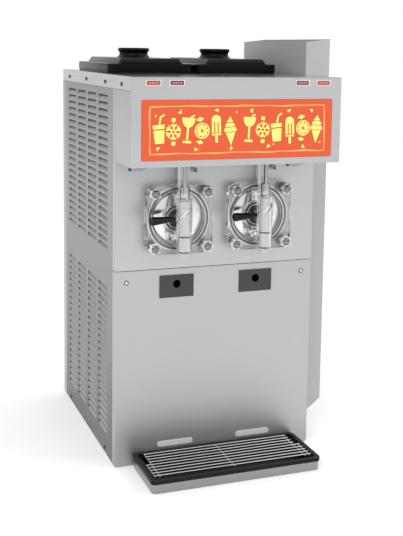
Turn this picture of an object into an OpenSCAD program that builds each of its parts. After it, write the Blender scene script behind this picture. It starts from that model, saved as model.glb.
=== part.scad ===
// Twin frozen-drink machine: a cabinet with two freezing cylinders, clear doors with
// draw spigots, two covered hoppers on top, a lit header and a drip tray in front.
// Origin: centre of the cabinet footprint, on the plane it stands on.
// +X is the machine's right seen from the front, +Y points into the machine, +Z is up.

/* [Cabinet] */
// Width across the side panels
body_w = 470; // [460:1:490]
// Depth from the front panel to the rear panel
body_d = 518; // [510:1:540]
// Height of the cabinet without the lids and the duct
body_h = 867; // [860:1:880]
// Thickness of the stainless sheet
sheet = 1.5; // [1.2:0.1:1.8]
// Height of the seam between the two front panels
split_z = 443; // [438:1:448]
// How far the front panels wrap round the side corners
corner_wrap = 21; // [18:1:24]
// How far the turned-down lip of the top cover reaches
cover_lip = 29; // [24:1:32]

/* [Header] */
// Height of the lit header box
header_h = 184; // [180:1:188]
// How far the header stands out in front of the doors
header_out = 122; // [118:1:126]
// Width of the sign panel
sign_w = 428; // [410:1:430]
// Height of the sign panel
sign_h = 124; // [110:1:126]
// Height of the sign centre above the bench
sign_z = 759; // [757:1:760]
// Height of the indicator lights above the bench
lamp_z = 855; // [853:1:856]

/* [Louvres] */
// Columns of louvres on the left panel
louvre_columns = 4; // [2:1:4]
// Length of one louvre
louvre_w = 80; // [60:1:84]
// Distance from one column of louvres to the next
louvre_step_y = 101.4; // [96:0.1:104]
// Rows in each of the two louvre fields
louvre_rows = 22; // [8:1:22]
// Distance from one row of louvres to the next
louvre_step_z = 15.84; // [15:0.01:16]
// Height of each louvre slot
louvre_h = 9; // [7:0.5:10]
// How far a louvre blade reaches into the cabinet
louvre_in = 6.5; // [4:0.5:7]

/* [Freezing units] */
// Distance between the two cylinder axes
unit_pitch = 188.5; // [186:0.5:192]
// Height of the cylinder axes above the bench
axis_z = 555; // [550:1:560]
// Inner radius of a freezing cylinder
bore_r = 62.5; // [60:0.5:64]
// Length of a freezing cylinder
cylinder_len = 350; // [330:1:355]
// Side of the square freezer door
door_side = 150; // [148:1:154]
// Thickness of the freezer door
door_t = 20; // [18:1:22]
// Distance of the handscrews from the door centre, each way
stud_off = 60; // [58:0.5:62]

/* [Draw spigots] */
// Distance of the spigot axis in front of the front panel
spigot_out = 48.5; // [47:0.5:50]
// Outer radius of the spigot
spigot_r = 17; // [16:0.5:18]
// Radius of the bore that the draw valve slides in
valve_bore_r = 12; // [11.5:0.1:12.5]
// Turn of the handle from closed to open, in degrees
handle_turn = 130; // [100:1:135]
// Lift of the draw valve over the full turn
valve_lift = 24; // [18:1:24]
// Angle of the closed handle from -X towards the front, in degrees
handle_rest = 16; // [10:1:20]
// Reach of the handle from the spigot axis
handle_reach = 86; // [80:1:88]

/* [Hoppers and lids] */
// Distance between the two hopper centres
hopper_pitch = 211; // [210:0.5:212]
// Distance of the hopper centres behind the cabinet centre
hopper_y = 51; // [48:1:54]
// Width of one hopper
hopper_w = 184; // [180:1:186]
// Length of one hopper
hopper_l = 296; // [290:1:300]
// Depth of the hopper below the top cover
hopper_deep = 165; // [120:1:168]
// Width of one lid
lid_w = 206; // [204:1:207]
// Length of one lid
lid_l = 317; // [314:1:320]
// Width of the raised part of a lid
lid_step_w = 154; // [140:1:160]

/* [Air duct] */
// Outer width of the duct beside the cabinet
duct_w = 61; // [55:1:65]
// Depth of the duct from front to back
duct_d = 375; // [350:1:380]
// Height of the duct mouth above the bench
duct_top = 950; // [930:1:960]

/* [Drip tray] */
// Width of the tray rim
tray_w = 393; // [380:1:400]
// Depth of the tray rim
tray_d = 153; // [148:1:160]
// Height of the tray rim
tray_h = 29; // [27:1:31]
// Long wires in the grille
grille_wires = 9; // [6:1:9]

/* [Hidden] */
$fn = 64;
eps = 0.01;
// Clearance between pieces that only lie beside each other
gap = 0.5;
// Open seam between two outer sheets
seam = 0.9;
// Radial clearance of a running fit
fit = 0.05;

side = body_w / 2;
front = -body_d / 2;
back = body_d / 2;
unit_x = unit_pitch / 2;
hopper_x = hopper_pitch / 2;
cover_z = body_h - sheet;
lip_z = body_h - cover_lip;
panel_z0 = 4;
panel_z1 = lip_z - gap;
header_z = body_h - header_h;
header_y = front - header_out;
wrap_y = front + corner_wrap;
rear_wrap_y = back - 30;

steel = [0.74, 0.75, 0.76];
bright_steel = [0.82, 0.83, 0.84];
dark_steel = [0.42, 0.43, 0.44];
black = [0.07, 0.07, 0.08];
clear = [0.85, 0.90, 0.92, 0.45];
white_plastic = [0.90, 0.91, 0.90];
hanger_grey = [0.72, 0.73, 0.72];
pan_grey = [0.32, 0.33, 0.32];
sign_orange = [0.95, 0.42, 0.28];
lens_red = [0.75, 0.28, 0.22];
foam_black = [0.10, 0.10, 0.11];
cast_steel = [0.55, 0.56, 0.57];
gearbox_grey = [0.35, 0.37, 0.40];
motor_grey = [0.25, 0.27, 0.30];
fin_metal = [0.62, 0.60, 0.55];
shell_black = [0.08, 0.08, 0.09];
box_grey = [0.70, 0.71, 0.72];
copper = [0.72, 0.45, 0.30];

// ---- helpers ----

module rounded_rect(w, h, r) {
  square([w - 2 * r, h], center = true);
  square([w, h - 2 * r], center = true);
  for (x = [-1, 1], y = [-1, 1])
    translate([x * (w / 2 - r), y * (h / 2 - r)]) circle(r = r);
}

// A plate whose outline is drawn in X and Z; its rear face is at y and it reaches t forward.
module upright(y, t) {
  translate([0, y, 0]) rotate([90, 0, 0]) linear_extrude(t) children();
}

// A box from its lowest corner to its highest corner.
module box(low, high) {
  translate(low) cube(high - low);
}

// Turns a child that is drawn along +Z so that it runs along +Y from the given point.
module along_y(at) {
  translate(at) rotate([-90, 0, 0]) children();
}

// Turns a child that is drawn along +Z so that it runs along +X from the given point.
module along_x(at) {
  translate(at) rotate([0, 90, 0]) children();
}

module both_units() {
  for (s = [-1, 1]) translate([s * unit_x, 0, 0]) children();
}

// Four points round a cylinder axis where the studs stand.
module at_studs() {
  for (x = [-1, 1], z = [-1, 1])
    translate([x * stud_off, 0, axis_z + z * stud_off]) children();
}

// ---- fasteners of the panels ----
screw_head_r = 4.6;
screw_head_h = 2.4;
screw_shank_r = 2;
screw_len = 9;
side_screw_ys = [front - 49.6, front + 84.8, front + 260.4, front + 438.6];
foot_screw_ys = [front + 86.7, front + 434];
side_screw_z = 850;
foot_screw_z = 13.7;
front_screw_x = 209.3;
front_screw_z = 417;

// Places a child at every panel screw, its +Z pointing out of the cabinet.
module at_side_screws() {
  for (s = [-1, 1]) {
    for (y = side_screw_ys)
      translate([s * side, y, side_screw_z]) rotate([0, s * 90, 0]) children();
    for (y = foot_screw_ys)
      translate([s * side, y, foot_screw_z]) rotate([0, s * 90, 0]) children();
  }
}

module at_front_screws() {
  for (s = [-1, 1])
    translate([s * front_screw_x, front, front_screw_z]) rotate([90, 0, 0]) children();
}

module screw_holes(r) {
  at_side_screws() translate([0, 0, -screw_len - 1]) cylinder(r = r, h = screw_len + 3);
  at_front_screws() translate([0, 0, -screw_len - 1]) cylinder(r = r, h = screw_len + 3);
}

module panel_screw() {
  difference() {
    cylinder(r1 = screw_head_r, r2 = screw_head_r - 1, h = screw_head_h);
    translate([0, 0, screw_head_h - 1.2]) cylinder(r = 1.7, h = 2, $fn = 6);
  }
  translate([0, 0, -screw_len]) cylinder(r = screw_shank_r, h = screw_len + eps);
}

module panel_screws() {
  color(dark_steel) {
    at_side_screws() panel_screw();
    at_front_screws() panel_screw();
  }
}

// ---- base and frame ----
base_in = 2;
base_flange = 23;

module base_pan() {
  w = side - sheet - 0.3;
  f = front + sheet + 0.3;
  b = back - sheet - 0.3;
  color(steel) difference() {
    box([-w, f, 0], [w, b, base_flange]);
    box([-w + base_in, f + base_in, base_in], [w - base_in, b - base_in, base_flange + 1]);
    screw_holes(screw_shank_r + 0.2);
  }
}

// The bars lie close together and keep small weld gaps.
bar = 20;
bar_in = 3;
weld = 0.2;
cradle_z = 446;
cradle_ys = [-120, 30, 112];
// height of the front cross bar behind the seam of the front panels
front_bar_z = 428;
front_bar_h = 12;
// room for the louvre blades at the ends of the low cross bar
blade_room = 4.5;
// straps that hang the low cross bar from a cradle bar
strap_x = 24;
strap_w = 10;
pan_w = 75;
pan_h = 46;
pan_z = 380;
pan_len = 300;
guide_w = 10;
guide_h = 6;

module frame() {
  x1 = side - sheet - bar_in;
  x0 = x1 - bar;
  f1 = front + sheet + bar_in;
  b1 = back - sheet - bar_in;
  top = cover_z - 2;
  color(dark_steel) difference() {
    union() {
      for (s = [0, 1]) mirror([s, 0, 0]) {
        box([x0, f1, base_in], [x1, f1 + bar, top]);
        box([x0, b1 - bar, base_in], [x1, b1, top]);
        box([x0, f1 + bar + weld, top - bar], [x1, b1 - bar - weld, top]);
        box([x0, f1 + bar + weld, base_in], [x1, b1 - bar - weld, base_in + bar]);
        // guides that carry the drip pans
        for (g = [-1, 1]) translate([unit_x + g * (pan_w / 2 + 1.5), 0, 0])
          box([-guide_w / 2, f1 + bar + weld, pan_z - guide_h],
              [guide_w / 2, front + pan_len + 20, pan_z - gap]);
      }
      for (z = [top - bar, front_bar_z])
        box([-x0 + weld, f1, z], [x0 - weld, f1 + bar - 6, z + front_bar_h]);
      for (z = [top - bar, cradle_z - 20])
        box([-x0 + weld, b1 - bar, z], [x0 - weld, b1, z + bar]);
      for (y = cradle_ys)
        box([-x1, y, cradle_z], [x1, y + bar, cradle_z + bar]);
      // cross bar under the inner ends of the drip-pan guides, hung from a cradle bar
      low_bar_y = front + pan_len - bar;
      box([-x1 + blade_room, low_bar_y, pan_z - guide_h - 1 - bar],
          [x1 - blade_room, low_bar_y + bar, pan_z - guide_h - weld]);
      for (x = [-strap_x, strap_x])
        box([x - strap_w / 2, low_bar_y + 10, pan_z - guide_h],
            [x + strap_w / 2, low_bar_y + bar - 1, cradle_z - weld]);
    }
    screw_holes(screw_shank_r + 0.2);
  }
}

// ---- panels ----
louvre_y0 = front + 64;
louvre_low_z = 52.3;
louvre_high_z = 479.8;
blade_t = [0.95, -0.73];

// Heights of the lower edge of every louvre slot in a column, from the bottom up
louvre_zs = [for (z0 = [louvre_low_z, louvre_high_z], i = [0 : louvre_rows - 1])
  z0 + i * louvre_step_z];

// Section of one plate strip with the blade bent in from its top edge; x runs inward.
function louvre_section(z0, z1) = [
  [0, z0], [0, z1], [louvre_in, z1 + louvre_h - gap],
  [louvre_in + blade_t[0], z1 + louvre_h - gap + blade_t[1]], [sheet, z1], [sheet, z0]];

// Section of the cheek that closes the end of a pressed louvre; its low edge is sunk in the blade.
cheek_x = 0.4;
cheek_sink = 0.3;
function cheek_section(z1) = [
  [cheek_x, z1 + 0.1], [cheek_x, z1 + louvre_h], [louvre_in, z1 + louvre_h],
  [louvre_in + 0.2, z1 + louvre_h - gap - cheek_sink]];

// Draws X-Z sections and extrudes them from y to y + w; x = 0 is the outer face.
module louvre_run(y, w) {
  translate([-side, y + w, 0]) rotate([90, 0, 0]) linear_extrude(w) children();
}

module left_panel() {
  zs = louvre_zs;
  n = len(zs);
  y1 = rear_wrap_y - gap;
  y0 = wrap_y + seam;
  ends = [for (c = [0 : louvre_columns - 1]) louvre_y0 + c * louvre_step_y];
  color(steel) difference() {
    union() {
      box([-side, y0, panel_z0], [-side + sheet, ends[0], panel_z1]);
      for (c = [0 : louvre_columns - 1]) {
        right_end = c < louvre_columns - 1 ? ends[c + 1] : y1;
        box([-side, ends[c] + louvre_w, panel_z0], [-side + sheet, right_end, panel_z1]);
        louvre_run(ends[c], louvre_w) {
          for (k = [0 : n - 1])
            polygon(louvre_section(k == 0 ? panel_z0 : zs[k - 1] + louvre_h, zs[k]));
          translate([0, zs[n - 1] + louvre_h]) square([sheet, panel_z1 - zs[n - 1] - louvre_h]);
        }
        for (y = [ends[c], ends[c] + louvre_w - 1])
          louvre_run(y, 1) for (z = zs) polygon(cheek_section(z));
      }
    }
    screw_holes(screw_shank_r + 0.2);
  }
}

// Exhaust window through the right panel into the duct
exhaust_y = [front + 72, front + 423];
exhaust_z = [90, 420];

module right_panel() {
  color(steel) difference() {
    box([side - sheet, wrap_y + seam, panel_z0], [side, rear_wrap_y - gap, panel_z1]);
    box([side - 5, exhaust_y[0], exhaust_z[0]], [side + 5, exhaust_y[1], exhaust_z[1]]);
    screw_holes(screw_shank_r + 0.2);
  }
}

gland_x = 150;
gland_z = 80;
gland_r = 8;
// two columns of slots that let air in at the back
vent_x = 75;
vent_w = 120;
vent_h = 5;
vent_rows = 14;
vent_step = 14;
vent_z = 180;

module rear_panel() {
  color(steel) difference() {
    union() {
      box([-side, back - sheet, panel_z0], [side, back, panel_z1]);
      box([-side + sheet, back - sheet, panel_z1 - eps], [side - sheet, back, cover_z]);
      for (s = [0, 1]) mirror([s, 0, 0])
        box([side - sheet, rear_wrap_y, panel_z0], [side, back, panel_z1]);
    }
    for (s = [-1, 1], i = [0 : vent_rows - 1])
      translate([s * vent_x, 0, vent_z + i * vent_step])
        box([-vent_w / 2, back - 5, 0], [vent_w / 2, back + 5, vent_h]);
    along_y([gland_x, back - 5, gland_z]) cylinder(r = gland_r + 0.1, h = 10);
  }
}

toggle_dx = 37.5;
toggle_z = 662;
boss_r = 72;

module wrapped_front(z0, z1) {
  box([-side, front, z0], [side, front + sheet, z1]);
  for (s = [0, 1]) mirror([s, 0, 0])
    box([side - sheet, front, z0], [side, wrap_y, z1]);
}

module upper_front_panel() {
  color(steel) difference() {
    union() {
      wrapped_front(split_z + gap, panel_z1);
      box([-side + sheet, front, panel_z1 - eps], [side - sheet, front + sheet, cover_z]);
    }
    both_units() {
      along_y([0, front - 1, axis_z]) cylinder(r = boss_r + gap, h = 4);
      at_studs() along_y([0, front - 1, 0]) cylinder(r = 4.6, h = 4);
      along_y([toggle_dx, front - 1, toggle_z]) cylinder(r = 6.1, h = 4);
    }
  }
}

hanger_w = 85;
hanger_h = 14;
hanger_z = 41.7;

module obround(w, h) {
  square([w - h, h], center = true);
  for (x = [-1, 1]) translate([x * (w - h) / 2, 0]) circle(r = h / 2);
}

module lower_front_panel() {
  color(steel) difference() {
    wrapped_front(panel_z0, split_z - gap);
    both_units() {
      box([-pan_w / 2 - gap, front - 1, pan_z - gap],
          [pan_w / 2 + gap, front + 3, pan_z + pan_h + gap]);
      translate([0, 0, hanger_z]) upright(front + 3, 5) obround(hanger_w, hanger_h);
    }
    screw_holes(screw_shank_r + 0.2);
  }
}

module tray_hangers() {
  color(hanger_grey) both_units() {
    translate([0, 0, hanger_z]) upright(front + 4, 5.5)
      obround(hanger_w - 0.4, hanger_h - 0.4);
    box([-hanger_w / 2 + 2, front + 4 - eps, hanger_z - 10],
        [hanger_w / 2 - 2, front + 6, hanger_z + 10]);
  }
}

// ---- header ----
bezel_xs = [-189, -139, 142, 191.3];
bezel_w = 34;
bezel_h = 12;
lens_w = 28.6;
lens_h = 8.4;
// how far the cut-out behind a bezel reaches past its lens
lens_room = 1.4;
header_sheet_y = header_y + sheet;

module header_shell() {
  inner = side - sheet;
  color(steel) difference() {
    union() {
      box([-side, header_y, header_z], [side, header_sheet_y, cover_z]);
      box([-inner, header_y, header_z], [inner, header_y + 16, header_z + sheet]);
      for (s = [0, 1]) mirror([s, 0, 0]) {
        box([side - sheet, header_y, header_z], [side, front, panel_z1]);
        // stepped-in tab behind the lip of the cover
        box([side - 2 * sheet - 0.4, header_y, panel_z1 - 20],
            [side - sheet - 0.4, front, cover_z - gap]);
        box([side - 2 * sheet, header_y, panel_z1 - 20], [side - sheet + eps, front, panel_z1]);
        // inner bottom lip
        box([inner - 12, header_y, header_z], [inner, front, header_z + sheet]);
      }
    }
    translate([0, 0, sign_z]) upright(header_y + 5, 10) rounded_rect(sign_w, sign_h, 4);
    for (x = bezel_xs)
      box([x - lens_w / 2 - lens_room, header_y - 5, lamp_z - lens_h / 2 - lens_room],
          [x + lens_w / 2 + lens_room, header_y + 5, lamp_z + lens_h / 2 + lens_room]);
    // shallow seams beside the front plate and beside the cabinet
    for (s = [0, 1], y = [header_sheet_y + 0.2, front - seam]) mirror([s, 0, 0])
      box([side - 1, y, header_z - 1], [side + 1, y + seam - 0.1, body_h]);
    // room for the ends of the cover's lip
    for (s = [0, 1]) mirror([s, 0, 0])
      box([side - sheet, header_sheet_y, panel_z1 + 0.1], [side + 1, front, body_h]);
    screw_holes(screw_shank_r + 0.2);
  }
}

module sign_panel() {
  color(sign_orange) translate([0, 0, sign_z]) {
    upright(header_sheet_y + eps, sheet - 0.2) rounded_rect(sign_w - 0.8, sign_h - 0.8, 3.6);
    upright(header_sheet_y + 2, 2) rounded_rect(sign_w + 14, sign_h + 14, 6);
  }
}

lamp_tube_r = 8;
lamp_len = 380;
lamp_y = header_y + 45;
lamp_tube_z = 800;
socket_half = 14;

module sign_lamp() {
  color(white_plastic) {
    along_x([-lamp_len / 2, lamp_y, lamp_tube_z]) cylinder(r = lamp_tube_r, h = lamp_len);
    for (s = [0, 1]) mirror([s, 0, 0])
      box([lamp_len / 2 - eps, lamp_y - socket_half, lamp_tube_z - socket_half],
          [lamp_len / 2 + socket_half, front, lamp_tube_z + socket_half]);
  }
}

module lens_bezels() {
  color(white_plastic) for (x = bezel_xs) difference() {
    union() {
      box([x - bezel_w / 2, header_y - 1.5, lamp_z - bezel_h / 2],
          [x + bezel_w / 2, header_y, lamp_z + bezel_h / 2]);
      box([x - lens_w / 2 - 1, header_y - eps, lamp_z - lens_h / 2 - 1],
          [x + lens_w / 2 + 1, header_y + 8, lamp_z + lens_h / 2 + 1]);
    }
    box([x - lens_w / 2, header_y - 5, lamp_z - lens_h / 2],
        [x + lens_w / 2, header_y + 9, lamp_z + lens_h / 2]);
  }
}

module indicator_lenses() {
  color(lens_red) for (x = bezel_xs)
    box([x - lens_w / 2 + 0.1, header_y - 2, lamp_z - lens_h / 2 + 0.1],
        [x + lens_w / 2 - 0.1, header_y + 6, lamp_z + lens_h / 2 - 0.1]);
}

// ---- top ----
module top_cover() {
  color(bright_steel) difference() {
    union() {
      box([-side, header_y, cover_z], [side, back, body_h]);
      for (s = [0, 1]) mirror([s, 0, 0])
        box([side - 1.2, header_sheet_y + 0.2, lip_z], [side, back - sheet - 0.2, cover_z + eps]);
    }
    for (s = [-1, 1]) translate([s * hopper_x, hopper_y, cover_z - 1])
      linear_extrude(5) rounded_rect(hopper_w + 1, hopper_l + 1, 30.5);
    screw_holes(screw_shank_r + 0.2);
  }
}

hopper_r = 30;
hopper_rim = 6;
hopper_floor = body_h - hopper_deep;
neck_r = 11;
neck_y = -60;
port_z = axis_z + bore_r + 3.5;

module hopper(s) {
  color(bright_steel) difference() {
    union() {
      translate([s * hopper_x, hopper_y, hopper_floor])
        linear_extrude(hopper_deep + 3) rounded_rect(hopper_w, hopper_l, hopper_r);
      translate([s * hopper_x, hopper_y, body_h])
        linear_extrude(3) rounded_rect(hopper_w + 2 * hopper_rim, hopper_l + 2 * hopper_rim, 36);
      translate([s * unit_x, neck_y, port_z + 4]) cylinder(r = neck_r, h = hopper_floor - port_z);
    }
    translate([s * hopper_x, hopper_y, hopper_floor + sheet])
      linear_extrude(hopper_deep + 5)
        rounded_rect(hopper_w - 2 * sheet, hopper_l - 2 * sheet, hopper_r - sheet);
    translate([s * unit_x, neck_y, port_z]) cylinder(r = neck_r - 2, h = hopper_deep);
  }
}

module hopper_left() hopper(-1);
module hopper_right() hopper(1);

lid_wall = 3;
lid_z1 = body_h + 21.5;
lid_z2 = body_h + 33.5;
knob_top = body_h + 57;
knob_r = 38.5;
waist_r = 34.5;

module lid(s) {
  color(black) translate([s * hopper_x, hopper_y, 0]) difference() {
    union() {
      translate([0, 0, body_h + 0.1]) linear_extrude(lid_z1 - body_h - 0.1)
        rounded_rect(lid_w, lid_l, 20);
      hull() {
        translate([0, 0, lid_z1 - 1]) linear_extrude(4) rounded_rect(lid_step_w, lid_l - 4, 16);
        translate([0, 0, lid_z2 - 1]) linear_extrude(1)
          rounded_rect(lid_step_w - 12, lid_l - 16, 12);
      }
      translate([0, 0, lid_z2 - 1]) rotate_extrude() polygon([
        [0, 0], [knob_r + 3, 0], [knob_r + 3, 2.5], [waist_r, 7], [waist_r, knob_top - lid_z2 - 7],
        [knob_r, knob_top - lid_z2 - 3], [knob_r, knob_top - lid_z2 - 1],
        [knob_r - 3, knob_top - lid_z2 + 1], [0, knob_top - lid_z2 + 1]]);
    }
    translate([0, 0, body_h - 1]) linear_extrude(lid_z1 - body_h - lid_wall + 1)
      rounded_rect(lid_w - 2 * lid_wall, lid_l - 2 * lid_wall, 17);
  }
}

module lid_left() lid(-1);
module lid_right() lid(1);

// ---- freezing cylinders and their drives ----
cylinder_y0 = front - 1;
cylinder_y1 = cylinder_y0 + cylinder_len;
barrel_r = bore_r + 3;
evaporator_r = 76;
jacket_r = 88;
rear_wall = 6;
shaft_r = 9.8;
flange_side = 164;

module unit_cylinder(s) {
  color(bright_steel) translate([s * unit_x, 0, 0]) difference() {
    union() {
      along_y([0, cylinder_y0, axis_z]) cylinder(r = boss_r, h = 8);
      translate([0, 0, axis_z]) upright(front + sheet + 5.2, 5)
        rounded_rect(flange_side, flange_side, 14);
      along_y([0, cylinder_y0, axis_z]) cylinder(r = barrel_r, h = cylinder_len);
      along_y([0, cylinder_y0 + 24, axis_z]) cylinder(r = evaporator_r, h = cylinder_len - 60);
    }
    along_y([0, cylinder_y0 - 1, axis_z]) cylinder(r = bore_r, h = cylinder_len - rear_wall + 1);
    along_y([0, cylinder_y0, axis_z]) cylinder(r = shaft_r + fit, h = cylinder_len + 5);
    at_studs() along_y([0, front, 0]) cylinder(r = 4.1, h = 10);
    translate([0, neck_y, axis_z]) cylinder(r = neck_r + 0.2, h = 90);
  }
}

module cylinder_left() unit_cylinder(-1);
module cylinder_right() unit_cylinder(1);

module insulation_jackets() {
  color(foam_black) both_units() difference() {
    along_y([0, cylinder_y0 + 26, axis_z]) cylinder(r = jacket_r, h = cylinder_len - 64);
    along_y([0, cylinder_y0 + 20, axis_z]) cylinder(r = evaporator_r + gap, h = cylinder_len);
    translate([0, neck_y, axis_z]) cylinder(r = neck_r + 2, h = 110);
  }
}

gear_y0 = cylinder_y1 + 8;
gear_len = 58;
gear_w = 104;
gear_h = 112;
foot_x = 40;
foot_w = 18;
motor_y0 = gear_y0 + gear_len + 1;
motor_len = back - sheet - 6 - motor_y0;

module gear_units() {
  color(gearbox_grey) both_units() difference() {
    union() {
      translate([0, 0, axis_z]) upright(gear_y0 + gear_len, gear_len - 8)
        rounded_rect(gear_w, gear_h, 16);
      along_y([0, cylinder_y1 + 0.5, axis_z]) cylinder(r = 26, h = 20);
      // feet that stand on the rear cradle bar
      for (x = [-1, 1])
        box([x * foot_x - foot_w / 2, gear_y0 + 14, cradle_z + bar],
            [x * foot_x + foot_w / 2, gear_y0 + 44, axis_z - 40]);
    }
    along_y([0, cylinder_y1 - 1, axis_z]) cylinder(r = shaft_r + fit, h = 46);
  }
}

motor_r = 54;

// Flange, body and end cap in a row, with a terminal box on top
module beater_motors() {
  color(motor_grey) both_units() {
    along_y([0, motor_y0, axis_z]) cylinder(r = motor_r - 4, h = 5);
    along_y([0, motor_y0 + 5 - eps, axis_z]) cylinder(r = motor_r, h = motor_len - 12);
    along_y([0, motor_y0 + motor_len - 8, axis_z]) cylinder(r = motor_r - 10, h = 8);
    box([-22, motor_y0 + 20, axis_z + 40], [22, motor_y0 + motor_len - 20, axis_z + 66]);
  }
}

// ---- dashers ----
hub_y0 = cylinder_y0 + 12;
hub_len = 12;
front_hub_r = 31;
// round plate behind the front hub; the drink flows past its rim
front_disc_r = 54;
front_disc_t = 3;
front_disc_y = hub_y0 + 4;
rear_hub_y = cylinder_y1 - rear_wall - 14;
bar_out = 53;
bar_t = 12;
hoop_in = 44;
pin_r = 7.9;
rear_hub_r = 24;
shaft_len = 60;
bar_w = 14;
arm_w = 12;
arm_t = 7;
ring_t = 5;
ring_step = 90;

module dasher_ring(y) {
  along_y([0, y, axis_z]) difference() {
    cylinder(r = bar_out, h = ring_t);
    translate([0, 0, -1]) cylinder(r = hoop_in, h = ring_t + 2);
  }
}

module dasher(s) {
  color(cast_steel) translate([s * unit_x, 0, 0]) difference() {
    union() {
      along_y([0, hub_y0, axis_z]) cylinder(r = front_hub_r, h = hub_len);
      along_y([0, front_disc_y, axis_z]) cylinder(r = front_disc_r, h = front_disc_t);
      along_y([0, rear_hub_y, axis_z]) cylinder(r = rear_hub_r, h = hub_len);
      along_y([0, rear_hub_y, axis_z]) cylinder(r = shaft_r, h = shaft_len);
      translate([0, 0, axis_z]) for (m = [0, 1]) mirror([0, 0, m]) {
        // long bar, then the arms that join it to the hubs
        box([-bar_w / 2, front_disc_y + eps, bar_out - bar_t],
            [bar_w / 2, rear_hub_y + hub_len, bar_out]);
        for (y = [front_disc_y + 1, rear_hub_y + 2])
          box([-arm_w / 2, y, 12], [arm_w / 2, y + arm_t, bar_out - 1]);
      }
      for (i = [1 : 3]) dasher_ring(hub_y0 + i * ring_step);
    }
    along_y([0, hub_y0 - 1, axis_z]) cylinder(r = pin_r + fit, h = hub_len + 2);
  }
}

module dasher_left() dasher(-1);
module dasher_right() dasher(1);

module scraper_blades(s) {
  color(white_plastic) translate([s * unit_x, 0, 0]) for (z = [-1, 1])
    upright(rear_hub_y + 8, rear_hub_y - hub_y0) translate([0, axis_z]) polygon([
      [-9, z * bar_out], [-9, z * 56], [6, z * 61], [9, z * 60.6], [9, z * 58], [7, z * bar_out]]);
}

module scraper_blades_left() scraper_blades(-1);
module scraper_blades_right() scraper_blades(1);

// ---- doors ----
door_y1 = cylinder_y0 - gap;
door_y0 = door_y1 - door_t;
spigot_y = front - spigot_out;
spigot_top = axis_z + 50;
spigot_low = axis_z - 65;
nozzle_z = axis_z - 80;
nozzle_r = 14;
port_drop = 48;
slot_z = 563.5;
slot_r = 4.2;
slot_steps = 20;
port_r = 9;
gasket_r0 = 64;
gasket_r1 = 69;
prime_y = door_y0 + door_t / 2;
prime_r = 5;
prime_z0 = axis_z + 50;
door_top = axis_z + door_side / 2;

module door(s) {
  color(clear) translate([s * unit_x, 0, 0]) difference() {
    union() {
      translate([0, 0, axis_z]) upright(door_y1, door_t) rounded_rect(door_side, door_side, 22);
      along_y([0, door_y1 - eps, axis_z]) cylinder(r = bore_r - 1.5, h = 8);
      along_y([0, door_y1 - eps, axis_z]) cylinder(r = pin_r, h = hub_y0 + hub_len - 2 - door_y1);
      translate([0, spigot_y, spigot_low]) cylinder(r = spigot_r, h = spigot_top - spigot_low);
      translate([0, spigot_y, nozzle_z]) cylinder(r = nozzle_r, h = spigot_low - nozzle_z + eps);
      along_y([0, spigot_y, axis_z - port_drop])
        cylinder(r = spigot_r - 0.5, h = door_y0 - spigot_y + 1);
      box([-8, spigot_y, axis_z - 40], [8, door_y0 + 1, axis_z + 45]);
    }
    translate([0, spigot_y, nozzle_z - 1])
      cylinder(r = valve_bore_r, h = spigot_top - nozzle_z + 2);
    along_y([0, spigot_y, axis_z - port_drop]) cylinder(r = port_r, h = door_y1 - spigot_y + 12);
    at_studs() along_y([0, door_y0 - 1, 0]) cylinder(r = 4.4, h = door_t + 2);
    along_y([0, door_y1 - 3, axis_z]) difference() {
      cylinder(r = gasket_r1, h = 5);
      translate([0, 0, -1]) cylinder(r = gasket_r0, h = 7);
    }
    // bore and passage of the prime plug
    translate([0, prime_y, prime_z0]) cylinder(r = prime_r, h = door_top - prime_z0 + 1);
    along_y([0, prime_y, prime_z0 + 4.2]) cylinder(r = 3.5, h = door_t);
    // helical slot that the handle's pin follows
    for (i = [0 : slot_steps])
      translate([0, spigot_y, slot_z + valve_lift * i / slot_steps])
        rotate([0, 90, 180 + handle_rest + handle_turn * i / slot_steps])
          cylinder(r = slot_r, h = spigot_r + 3);
  }
}

module door_left() door(-1);
module door_right() door(1);

module door_gaskets() {
  color(black) both_units() along_y([0, door_y1 - 2.9, axis_z]) difference() {
    cylinder(r = gasket_r1 - 0.1, h = 2.9 + gap);
    translate([0, 0, -1]) cylinder(r = gasket_r0 + 0.1, h = 6);
  }
}

stud_r = 4;
stud_y0 = door_y0 - 9;

module door_studs() {
  color(bright_steel) both_units() at_studs()
    along_y([0, stud_y0, 0]) cylinder(r = stud_r, h = front + sheet + 5.1 - stud_y0);
}

// Lobed knob with a domed metal cap
knob_lobes = 6;
hand_h = 13;
hand_r = 12;
lobe_r = 3.8;
dome_r = 8.6;
dome_h = 3.4;

module handscrew() {
  difference() {
    union() {
      cylinder(r = hand_r, h = hand_h);
      for (i = [0 : knob_lobes - 1])
        rotate(i * 360 / knob_lobes + 15) translate([hand_r - 1.5, 0, 0])
          cylinder(r = lobe_r, h = hand_h - 1);
      translate([0, 0, hand_h - eps]) rotate_extrude() polygon(concat(
        [[0, 0]], [for (a = [0 : 15 : 90]) [dome_r * cos(a), dome_h * sin(a)]]));
    }
    translate([0, 0, -1]) cylinder(r = stud_r + fit, h = 11);
  }
}

module handscrews() {
  color(white_plastic) both_units() at_studs()
    translate([0, door_y0 - 0.2, 0]) rotate([90, 0, 0]) handscrew();
}

// ---- draw valves ----
head_z0 = spigot_top - 4.7;
head_z1 = spigot_top + 27;
head_r = 11;
rod_r = 4.75;
rod_top = header_z + 38;
neck_pin_r = 5;
piston_r = valve_bore_r - fit;
piston_z0 = nozzle_z + 6;
piston_z1 = spigot_top - 5;
ring_zs = [axis_z - 66, axis_z - 32];
ring_h = 3;
handle_pin_r = 3;

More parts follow.
